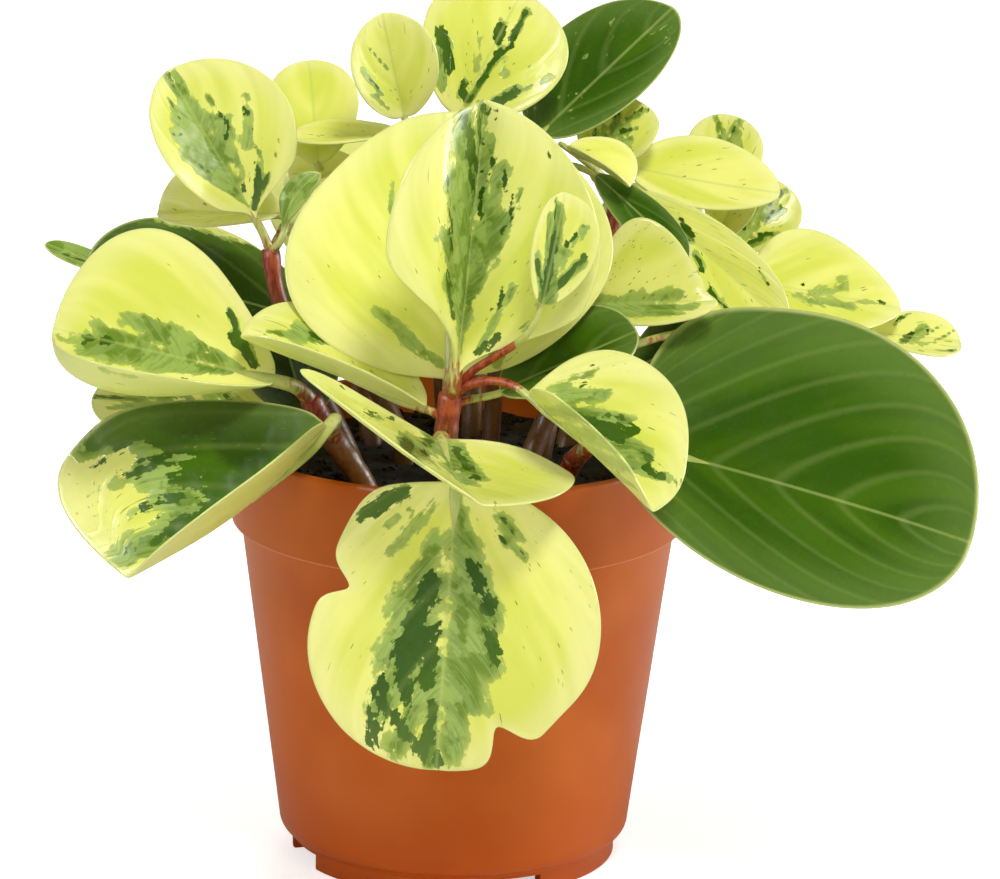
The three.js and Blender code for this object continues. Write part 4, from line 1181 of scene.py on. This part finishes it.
def leaf_material(name, under):
    """The upper skin, or the paler skin below."""
    material, tree, shader = new_material(name)
    veins = add_node(tree, "Attribute", attribute_name="veins").outputs["Vector"]
    paint = add_node(tree, "Attribute", attribute_name="paint")
    strokes, margin = paint.outputs["Color"], paint.outputs["Alpha"]
    here = add_node(tree, "TexCoord").outputs["Object"]
    group = place_group(tree, variegation, Paint=strokes, Veins=veins, Object=here)
    green, dark, height = [group.outputs[key] for key in ("Green", "Dark", "Height")]
    on_blade = add_node(tree, "SeparateXYZ", [(0, veins)])
    phase = reckon(tree, "FRACT", reckon(tree, "DIVIDE", on_blade.outputs[0], VEIN_SPACING))
    off_line = reckon(tree, "ABSOLUTE", reckon(tree, "SUBTRACT", phase, 0.5))
    side_vein = edge_step(tree, off_line, 0.0, 0.16, 1.0, 0.0)
    off_rib = reckon(tree, "ABSOLUTE", on_blade.outputs[1])
    midrib = edge_step(tree, off_rib, 0.15, 0.6, 1.0, 0.0)
    pale = screen_colour(196, 212, 120)
    line = reckon(tree, "MULTIPLY", side_vein, reckon(tree, "MULTIPLY", dark, 0.1))
    colour = blend(tree, line, group.outputs["Color"], pale)
    colour = blend(tree, reckon(tree, "MULTIPLY", midrib, 0.35), colour, pale)
    # painted sheen: the dark green fades to a paler grey-green towards the margin
    outer = reckon(tree, "MULTIPLY", edge_step(tree, margin, 0.5, 1.0, 0.0, 0.4), dark)
    colour = blend(tree, outer, colour, screen_colour(124, 150, 72))
    yellow = reckon(tree, "SUBTRACT", 1.0, reckon(tree, "MAXIMUM", green, dark))
    # painted highlight: cream over the yellow near the margin
    margin_highlight = reckon(tree, "MULTIPLY", edge_step(tree, margin, 0.7, 0.95, 0.0, 0.45), yellow)
    colour = blend(tree, margin_highlight, colour, screen_colour(252, 250, 176))
    rim = edge_step(tree, margin, 0.965, 1.0)
    colour = blend(tree, reckon(tree, "MULTIPLY", rim, 0.55), colour, screen_colour(230, 234, 150))
    if under:
        colour = blend(tree, 0.55, colour, screen_colour(216, 222, 128))
    fill(shader.inputs["Base Color"], colour)
    high, smooth, rough = (0.7, 0.42, 0.5) if under else (0.8, 0.2, 0.32)
    fill(shader.inputs["Roughness"], edge_step(tree, height, 0.3, high, smooth, rough))
    emboss(tree, shader, reckon(tree, "MULTIPLY_ADD", side_vein, -0.15, height), 0.5, 0.0006)
    fill(shader.inputs["Specular IOR Level"], 0.32)
    let_light_in(shader, 0.12, (0.6, 1.0, 0.15), 0.0015)
    return material


leaf_top = leaf_material("leaf_top", under=False)
leaf_under = leaf_material("leaf_under", under=True)
print("leaf materials:", leaf_top.name, leaf_under.name)

# %% [markdown]
# ## Stalks and stems
#
# The leaf stalks are pale green and flushed with red towards the stem. The stems are red at the
# top, where they are young, and brown and corky lower down. Again the colour follows an
# attribute: how flushed a point is, and how old.

# %% stalk material
stalk_skin, tree, shader = new_material("stalk_skin")
attribute = add_node(tree, "Attribute", attribute_name="age")
age = add_node(tree, "SeparateXYZ", [(0, attribute.outputs["Vector"])])
here = add_node(tree, "TexCoord").outputs["Object"]
skin = place_group(tree, grain, Vector=here, Fine=1400, Coarse=420, Cloud=160)
streak = noise(tree, stretched(tree, here, (900, 900, 220)), 1.0, 3)
flush = reckon(tree, "MULTIPLY_ADD", reckon(tree, "SUBTRACT", streak, 0.5), 1.6, age.outputs[0])
flush = edge_step(tree, flush, 0.3, 0.7)
young = blend(tree, skin.outputs["Tone"], screen_colour(176, 190, 92), screen_colour(206, 208, 120))
mottle = edge_step(tree, streak, 0.35, 0.65)
red = blend(tree, mottle, screen_colour(136, 26, 10), screen_colour(186, 84, 36))
colour = blend(tree, flush, young, red)
height = skin.outputs["Height"]
bark = edge_step(tree, reckon(tree, "MULTIPLY_ADD", height, 0.5, age.outputs[1]), 0.45, 0.95)
corky = blend(tree, streak, screen_colour(96, 56, 16), screen_colour(150, 100, 40))
colour = blend(tree, bark, colour, corky)
dots = add_node(tree, "TexVoronoi", [("Vector", here), ("Scale", 700.0)])
dot = edge_step(tree, dots.outputs["Distance"], 0.1, 0.3, 0.5, 0.0)
dot = reckon(tree, "MULTIPLY", dot, flush)
fill(shader.inputs["Base Color"], blend(tree, dot, colour, screen_colour(96, 30, 12)))
fill(shader.inputs["Roughness"], edge_step(tree, height, 0.3, 1.0, 0.34, 0.5))
emboss(tree, shader, height, 0.4, 0.0004)
let_light_in(shader, 0.1, (1.0, 0.6, 0.2), 0.001)
print("stalk material has", len(tree.nodes), "nodes")

# %% [markdown]
# ## A smooth line through points
#
# Stems and stalks follow smooth lines. A curve with automatic handles would do it too, but its
# points couldn't be asked for their places. This is the usual Catmull-Rom curve, with steps
# measured so that it doesn't loop at uneven points, and then walked at even distances.

# %% smooth lines
def smooth_line(points, count):
    """count points at even distances on a smooth curve through these points."""
    knots = [np.array(point, float) for point in points]
    knots = [2 * knots[0] - knots[1], *knots, 2 * knots[-1] - knots[-2]]
    dense = []
    for a, b, c, d in zip(knots, knots[1:], knots[2:], knots[3:]):
        before, step, after = [max(np.linalg.norm(v) ** 0.5, 1e-4) for v in (b - a, c - b, d - c)]
        first = ((b - a) / before - (c - a) / (before + step) + (c - b) / step) * step
        last = ((c - b) / step - (d - b) / (step + after) + (d - c) / after) * step
        square = 3 * (c - b) - 2 * first - last
        cube = 2 * (b - c) + first + last
        for i in range(24):
            t = i / 24
            dense.append(b + first * t + square * t**2 + cube * t**3)
    dense.append(knots[-2])
    dense = np.array(dense)
    walked = np.concatenate([[0], np.cumsum(np.linalg.norm(np.diff(dense, axis=0), axis=1))])
    even = np.linspace(0, walked[-1], count)
    return np.stack([np.interp(even, walked, dense[:, k]) for k in range(3)], axis=1)


front_line = smooth_line(PLANT["front_stem"]["axis"], 40)
front_steps = np.linalg.norm(np.diff(front_line, axis=0), axis=1)
print("front stem is", round(float(front_steps.sum()), 1), "mm long")

# %% [markdown]
# ## The surface of a blade
#
# A leaf could be pulled into shape point by point, but a bush of them is better served by one
# formula. A square grid becomes a disc, the disc becomes an egg outline, and the egg is bent:
# each half leaves the midrib at its fold and rolls by its cup, and the midrib itself curls. It is
# worked on whole arrays of points at once, which is quick and keeps the formula in one place.

# %% blade surface
OUTLINE = {"broad": 0.12, "taper": 0.25, "neck": 0.02, "rolled": 0, "sway": 0, "bites": ()}


def unit(vector):
    """A vector of length 1 in the same direction."""
    vector = np.array(vector, float)
    return vector / np.linalg.norm(vector)


def blade_surface(row):
    """A function of (u, v), both -1 to 1, that gives points in mm, s along, q across, rim."""
    name, base, tip, face, halves, folds, cups, curl = row
    outline = {**OUTLINE, **OUTLINES.get(name, {})}
    broad, taper, neck, rolled = [
        np.broadcast_to(outline[key], 2) for key in ("broad", "taper", "neck", "rolled")
    ]
    chord = np.subtract(tip, base).astype(float)
    length = np.linalg.norm(chord)
    ahead = chord / length
    up = np.array(face, float)
    up = unit(up - ahead * (up @ ahead))
    side = np.cross(up, ahead)
    bend = math.radians(curl or 0.1)
    arc = length * bend / 2 / math.sin(bend / 2)

    def surface(u, v):
        x = u * np.sqrt(1 - v * v / 2)
        y = v * np.sqrt(1 - u * u / 2)
        rim = np.hypot(x, y)
        rise = np.clip((1 + x) / 2 / np.where(y >= 0, neck[0], neck[1]), 0, 1)
        angle = np.degrees(np.arctan2(y, x))
        for spot, depth, width in outline["bites"]:
            away = (angle - spot + 180) % 360 - 180
            keep = 1 - depth * np.exp(-((away / width) ** 2)) * rim**2
            x, y = x * keep, y * keep
        s = (1 + x) / 2
        left = y >= 0

        def pick_half(pair):
            return np.where(left, pair[0], pair[1])

        stalked = 0.1 + 0.9 * rise * rise * (3 - 2 * rise)
        shape = (1 + pick_half(broad) * x) * (1 - pick_half(taper) * (1 - s) ** 3) * stalked
        q = y * shape
        scale = np.maximum(np.sqrt(np.clip(1 - x * x, 0, 1)) * shape, 0.001) ** pick_half(rolled)
        fold = np.radians(pick_half(folds))
        cup = np.radians(pick_half((cups[0] or 0.1, cups[1] or 0.1)))
        half = pick_half(halves) * scale
        rolling = fold + cup * abs(q) / scale
        lateral = half * (np.sin(rolling) - np.sin(fold)) / cup
        height = half * (np.cos(fold) - np.cos(rolling)) / cup
        turn = bend * (s - 0.5)
        forward = arc * (np.sin(turn) + math.sin(bend / 2)) / bend - np.sin(turn) * height
        lift = arc * (math.cos(bend / 2) - np.cos(turn)) / bend + np.cos(turn) * height
        lateral = np.where(left, lateral, -lateral) + outline["sway"] * np.sin(math.pi * s)
        points = forward[..., None] * ahead + lateral[..., None] * side + lift[..., None] * up
        return points + np.array(base, float), s, q, rim

    return surface


def surface_normal(surface, u, v):
    """The way the upper face looks at (u, v), from two short steps across each other."""
    step = 0.02
    u0, u1 = np.maximum(u - step, -1), np.minimum(u + step, 1)
    v0, v1 = np.maximum(v - step, -1), np.minimum(v + step, 1)
    along = surface(u1, v * 0.98)[0] - surface(u0, v * 0.98)[0]
    across = surface(u * 0.98, v1)[0] - surface(u * 0.98, v0)[0]
    normal = np.cross(along, across)
    return normal / np.linalg.norm(normal, axis=-1, keepdims=True)


centre = blade_surface(PLANT["front_stem"]["leaves"][0])(np.zeros(1), np.zeros(1))[0][0]
print("middle of the tall leaf at", np.round(centre, 1))

# %% [markdown]
# ## One blade
#
# The grid comes from the operator, its points go to the surface, and small relief is added along
# the normals: a groove on the midrib, a slight hollow on each side vein, a lazy wave round the
# margin and, on three leaves, a soft ridge along one half. Solidify gives the blade its fleshy
# thickness, less at the margin, and one subdivision rounds that margin off.

# %% blade piece
BLADE = 1.0
GROOVE = 0.3
GROOVE_WIDTH = 0.9
QUILT = 0.07
WAVE = 0.012
WAVES = 9
# A ridge: where it runs across the blade (q), its width on the same scale, and its height in mm
RIDGES = {
    "centre_tall": (0.62, 0.15, 2.6),
    "left_lipped": (-0.8, 0.1, 0.8),
    "right_front": (-0.75, 0.12, 1.0),
}
NO_RIDGE = (0, 1, 0)


def set_attribute(mesh, name, kind, values):
    """Writes one row of values for each point of a mesh."""
    attribute = mesh.attributes.new(name, kind, "POINT")
    key = "color" if kind == "FLOAT_COLOR" else "vector"
    attribute.data.foreach_set(key, np.asarray(values, np.float32).ravel())


def blade_piece(row):
    """One blade with its relief, its thickness and its paint, from a row of the table."""
    name, base, tip, _, halves = row[:5]
    surface = blade_surface(row)
    length = np.linalg.norm(np.subtract(tip, base))
    size = length + halves[0] + halves[1]
    columns, rows = (40, 32) if size > 100 else (28, 22) if size > 50 else (18, 14)
    let_go()
    bpy.ops.mesh.primitive_grid_add(x_subdivisions=columns, y_subdivisions=rows, size=2)
    blade = bpy.context.object
    blade.name = name
    flat = np.empty(len(blade.data.vertices) * 3, np.float32)
    blade.data.vertices.foreach_get("co", flat)
    u, v = np.clip(flat.reshape(-1, 3).astype(float).T[:2], -1, 1)
    points, s, q, rim = surface(u, v)
    half = np.where(q >= 0, halves[0], halves[1])
    outline = np.sqrt(np.clip(1 - (2 * s - 1) ** 2, 0, 1) + 0.12)
    across = (s - 0.8 * np.clip(abs(q) / outline, 0, 1.1) ** 1.3) * length
    phase = across / VEIN_SPACING - np.floor(across / VEIN_SPACING) - 0.5
    quilt = QUILT * np.sin(math.pi * abs(phase)) * np.clip(abs(q) * 4, 0, 1)
    groove = -GROOVE * np.exp(-((q * half / GROOVE_WIDTH) ** 2)) * (1.1 - s)
    shift = random.Random(name).uniform(0, 6.28)
    wave = WAVE * half * rim**5 * np.sin(WAVES * s + shift + np.sign(q))
    relief = (quilt + groove) * (1 - rim**6) + wave
    spot, width, height = RIDGES.get(name, NO_RIDGE)
    ridge = height * np.exp(-(((q - spot) / width) ** 2)) * np.sin(math.pi * np.clip(s, 0, 1))
    relief = relief + ridge
    points = points + surface_normal(surface, u, v) * relief[:, None]
    blade.data.vertices.foreach_set("co", place(points).astype(np.float32).ravel())
    paint = paint_of(name)
    aspect = length / np.mean(halves)
    green = stroke_field(paint["mid"], s, q, aspect)
    dark = stroke_field(paint["dark"], s, q, aspect)
    flecks = np.full_like(s, paint["fleck"])
    set_attribute(blade.data, "paint", "FLOAT_COLOR", np.stack([green, dark, flecks, rim], axis=1))
    seed = np.full_like(s, 10 * shift)
    set_attribute(blade.data, "veins", "FLOAT_VECTOR", np.stack([across, q * half, seed], axis=1))
    thick = blade.vertex_groups.new(name="thick")
    for index, value in enumerate(1 - rim**4):
        thick.add([index], max(float(value), 0.0), "REPLACE")
    blade.data.materials.append(leaf_top)
    blade.data.materials.append(leaf_under)
    apply_modifier(
        blade, "SOLIDIFY", thickness=BLADE / 1000, offset=0, use_even_offset=False,
        vertex_group="thick", thickness_vertex_group=0.6, material_offset=1, material_offset_rim=0,
    )
    apply_modifier(blade, "SUBSURF", levels=1, render_levels=1)
    blade.vertex_groups.clear()
    pick(blade)
    bpy.ops.object.shade_smooth()
    return blade


trial = blade_piece(PLANT["front_stem"]["leaves"][2])
print(trial.name, "has", len(trial.data.polygons), "faces")
bpy.data.objects.remove(trial)

# %% [markdown]
# ## One stalk or stem
#
# A curve with a bevel is the natural way to make a round bar that thins out. It is converted to
# a mesh, and each of its points then gets its flush and its age from the nearest point of the
# line. A stalk leaves the stem at whichever of a few places lies best for its blade. The stalk of
# the hanging leaf starts low and runs nearly straight, and two stalks are red as far as the
# blade. A stem swells a little at its nodes, where the leaves come off.

# %% stalk piece
PETIOLE_RADIUS = 1.7
STALK_STARTS = (0.5, 0.6, 0.7, 0.8, 0.9, 0.97)
LOW_STALKS = {"apron_hanging": (0.45,)}
RED_STALKS = ("centre_small", "right_front")
NODE_SWELL = 0.35
NODE_REACH = 1.6


def round_bar(name, line, radii, flushes, ages):
    """A round bar in mm along a line. Radii, flushes and ages have one value for each point."""
    let_go()
    bpy.ops.curve.primitive_bezier_curve_add()
    bar = bpy.context.object
    bar.name = name
    curve = bar.data
    curve.splines.clear()
    spline = curve.splines.new("POLY")
    spline.points.add(len(line) - 1)
    for point, spot, radius in zip(spline.points, place(line), radii):
        point.co = (*spot, 1)
        point.radius = radius
    curve.dimensions = "3D"
    curve.bevel_depth = 0.001
    curve.bevel_resolution = 4
    curve.use_fill_caps = True
    bpy.ops.object.convert(target="MESH")
    bar = bpy.context.object
    bpy.ops.object.mode_set(mode="EDIT")
    bpy.ops.mesh.select_all(action="SELECT")
    bpy.ops.mesh.remove_doubles(threshold=0.00002)
    bpy.ops.mesh.normals_make_consistent(inside=False)
    bpy.ops.object.mode_set(mode="OBJECT")
    flat = np.empty(len(bar.data.vertices) * 3, np.float32)
    bar.data.vertices.foreach_get("co", flat)
    gaps = np.linalg.norm(flat.reshape(-1, 1, 3) - place(line)[None], axis=2)
    nearest = gaps.argmin(axis=1)
    values = np.stack([flushes[nearest], ages[nearest], np.zeros(len(nearest))], axis=1)
    set_attribute(bar.data, "age", "FLOAT_VECTOR", values)
    bar.data.materials.clear()
    bar.data.materials.append(stalk_skin)
    bpy.ops.object.shade_smooth()
    return bar


def stalk_piece(row, stem_line):
    """The stalk from the stem's nearest point to the blade, and on under it as the midrib's foot."""
    surface = blade_surface(row)

    def at(u):
        return surface(np.array([float(u)]), np.zeros(1))[0][0]

    def below(u):
        return surface_normal(surface, np.array([float(u)]), np.zeros(1))[0]

    base = at(-1)
    entry = unit(at(-0.94) - base)
    last = len(stem_line) - 1
    best = None
    pull = 0.08 if row[0] in LOW_STALKS else 0.35
    for part in LOW_STALKS.get(row[0], STALK_STARTS):
        index = round(part * last)
        point = stem_line[index]
        gap = np.linalg.norm(point - base) + max(0, point[2] - base[2] + 6)
        if best is None or gap < best[0]:
            best = (gap, point, unit(stem_line[min(index + 1, last)] - stem_line[index - 1]), index)
    root, tangent = best[1], best[2]
    gap = np.linalg.norm(root - base)
    outward = unit(unit(base - root) + tangent)
    a, b = root, root + outward * gap * pull
    c, d = base - entry * gap * pull, base - below(-0.9) * 0.4
    bezier = [
        a * (1 - t) ** 3 + 3 * b * t * (1 - t) ** 2 + 3 * c * t**2 * (1 - t) + d * t**3
        for t in (0, 0.25, 0.5, 0.75, 1)
    ]
    under = [at(u) - below(u) * drop for u, drop in ((-0.75, 1.0), (-0.5, 0.8), (-0.1, 0.4))]
    line = smooth_line(bezier + under, 26)
    reach = np.linspace(0, 1, len(line))
    size = min(max(sum(row[4]) / 60, 0.6), 1.2)
    taper = np.interp(reach, [0, 0.15, 0.55, 0.75, 1], [1.3, 1.05, 0.9, 0.5, 0.12])
    radii = PETIOLE_RADIUS * size * taper
    flushes = np.interp(reach, [0, 0.2, 0.45, 1], [0.75, 0.5, 0.12, 0])
    if row[0] in RED_STALKS:
        flushes = np.interp(reach, [0, 0.4, 0.55, 1], [1, 1, 0.2, 0])
    return round_bar(row[0] + "_stalk", line, radii, flushes, np.zeros(len(line))), best[3]


def stem_piece(node, line, foot, end, knots):
    """A stem with a radius at its foot and one at its end, thicker where the stalks come off."""
    reach = np.linspace(0, 1, len(line))
    radii = foot + (end - foot) * reach
    steps = np.arange(len(line))
    for knot in knots:
        radii = radii + NODE_SWELL * np.exp(-(((steps - knot) / NODE_REACH) ** 2))
    flushes = np.interp(reach, [0, 0.5, 1], [0.55, 0.75, 0.95])
    ages = np.interp(reach, [0, 0.3, 0.75, 0.92, 1], [1, 0.85, 0.45, 0.1, 0])
    return round_bar(node, line, radii, flushes, ages)


print("stalks are about", 2 * PETIOLE_RADIUS, "mm thick")

# %% [markdown]
# ## The leafy stems
#
# Each stem is joined with its stalks and blades into one piece, as a real shoot is one piece,
# and takes the place of its CAD node.

# %% grow the plant
total = 0
for node, stem in PLANT.items():
    stem_line = smooth_line(stem["axis"], 41)
    pieces, knots = [], []
    for row in stem["leaves"]:
        pieces.append(blade_piece(row))
        stalk, knot = stalk_piece(row, stem_line)
        pieces.append(stalk)
        knots.append(knot)
    shoot = stem_piece(node, stem_line, *stem["radii"], sorted(set(knots)))
    pick(shoot, *pieces)
    bpy.ops.object.join()
    slot = "green_leaf" if node in GREEN_NODES else "variegated_leaf"
    finish_piece(shoot, node + "_foliage", slot, node)
    total += len(shoot.data.loop_triangles)
print("plant has", total, "triangles")

# %% [markdown]
# ## Floor, light and backdrop
#
# The plant stands on a plain pale floor that runs into the white beyond it. A photographer
# would light the floor until it burns out. Here it gives off some light of its own, but only to
# the camera, so that nothing of it falls on the plant.

# %% floor
FLOOR_SIZE = 3.2
FLOOR_GLOW = 0.6

let_go()
bpy.ops.mesh.primitive_plane_add(size=FLOOR_SIZE, location=(AXIS.x, AXIS.y, 0))
floor = bpy.context.object
floor.name = "floor"
paper, tree, shader = new_material("pale_floor")
here = add_node(tree, "TexCoord").outputs["Object"]
mottle = place_group(tree, grain, Vector=here, Fine=300, Coarse=60, Cloud=4)
shade = blend(tree, mottle.outputs["Tone"], screen_colour(246, 246, 245), screen_colour(250, 250, 249))
fill(shader.inputs["Base Color"], shade)
fill(shader.inputs["Roughness"], 0.9)
fill(shader.inputs["Emission Color"], (1, 1, 1, 1))
seen = add_node(tree, "LightPath").outputs["Is Camera Ray"]
fill(shader.inputs["Emission Strength"], reckon(tree, "MULTIPLY", seen, FLOOR_GLOW))
floor.data.materials.append(paper)
floor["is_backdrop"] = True
print("floor is", FLOOR_SIZE, "m wide")

# %% [markdown]
# The light is soft and bright, as from a photographer's soft boxes. A key lamp hangs high at the
# front, a little to the right, with a weaker fill at the left and two more lamps at the side and
# the back. All four are matte: they light the plant and are mirrored nowhere. The glints on the
# leaves and the pale line down the pot's side come from other, shining lamps that make
# reflections only, so that each can be set by itself.

# %% lamps
AIM = Vector((0, 0, 0.11))


def soft_light(name, spot, size, power, shines=False):
    """A round lamp aimed at the plant. One that shines makes only reflections, the others none."""
    let_go()
    bpy.ops.object.light_add(type="AREA", location=spot)
    light = bpy.context.object
    light.name = name
    light.data.shape = "DISK"
    light.data.size = size
    light.data.energy = power
    light.visible_glossy = shines
    light.visible_diffuse = not shines
    light.rotation_euler = (AIM - Vector(spot)).to_track_quat("-Z", "Y").to_euler()


soft_light("key", (0.25, -0.8, 1.35), 0.35, 11)
soft_light("fill", (-1.0, -0.9, 0.7), 0.6, 3)
soft_light("side", (1.3, -0.2, 0.3), 0.4, 4)
soft_light("back", (0.2, 1.2, 1.1), 0.8, 5)
soft_light("glint_high", (-0.7, -0.6, 1.0), 0.09, 8, shines=True)
soft_light("glint_low", (-0.9, -0.9, 0.6), 0.1, 10, shines=True)
soft_light("sheen_right", (1.3, 0.1, 0.3), 0.6, 30, shines=True)
soft_light("sheen_left", (-1.3, -0.1, 0.4), 0.5, 2, shines=True)

# %% [markdown]
# An even glow comes from all round, as in a white room. It is dimmer in reflections, so that the
# leaves keep their colours, and for the camera it is a plain white.

# %% glow all round
GLOW = 0.36
DULL_GLOW = 0.1

world = bpy.data.worlds.new("studio")
bpy.context.scene.world = world
world.use_nodes = True
tree = world.node_tree
tree.nodes.clear()
rays = add_node(tree, "LightPath")
strength = reckon(tree, "MULTIPLY_ADD", rays.outputs["Is Glossy Ray"], DULL_GLOW - GLOW, GLOW)
strength = reckon(tree, "MULTIPLY_ADD", rays.outputs["Is Camera Ray"], 1 - GLOW, strength)
glow = add_node(tree, "Background", [("Color", (1, 1, 1, 1)), ("Strength", strength)])
add_node(tree, "OutputWorld", [("Surface", glow.outputs[0])])
bpy.context.scene.view_settings.view_transform = "Standard"
print("glow", GLOW, "all round and", DULL_GLOW, "in reflections")

# %% [markdown]
# ## The sizes
#
# The boxes of the CAD model and of the dressed plant are printed. The dressed plant has
# to stay the size of the CAD model.

# %% sizes and finish
let_go()
dressed_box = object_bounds()
boxes = {"cad": [list(map(float, corner)) for corner in cad_box]}
boxes["dressed"] = [list(map(float, corner)) for corner in dressed_box]
for key in boxes:
    print(key, [[round(value, 4) for value in corner] for corner in boxes[key]])
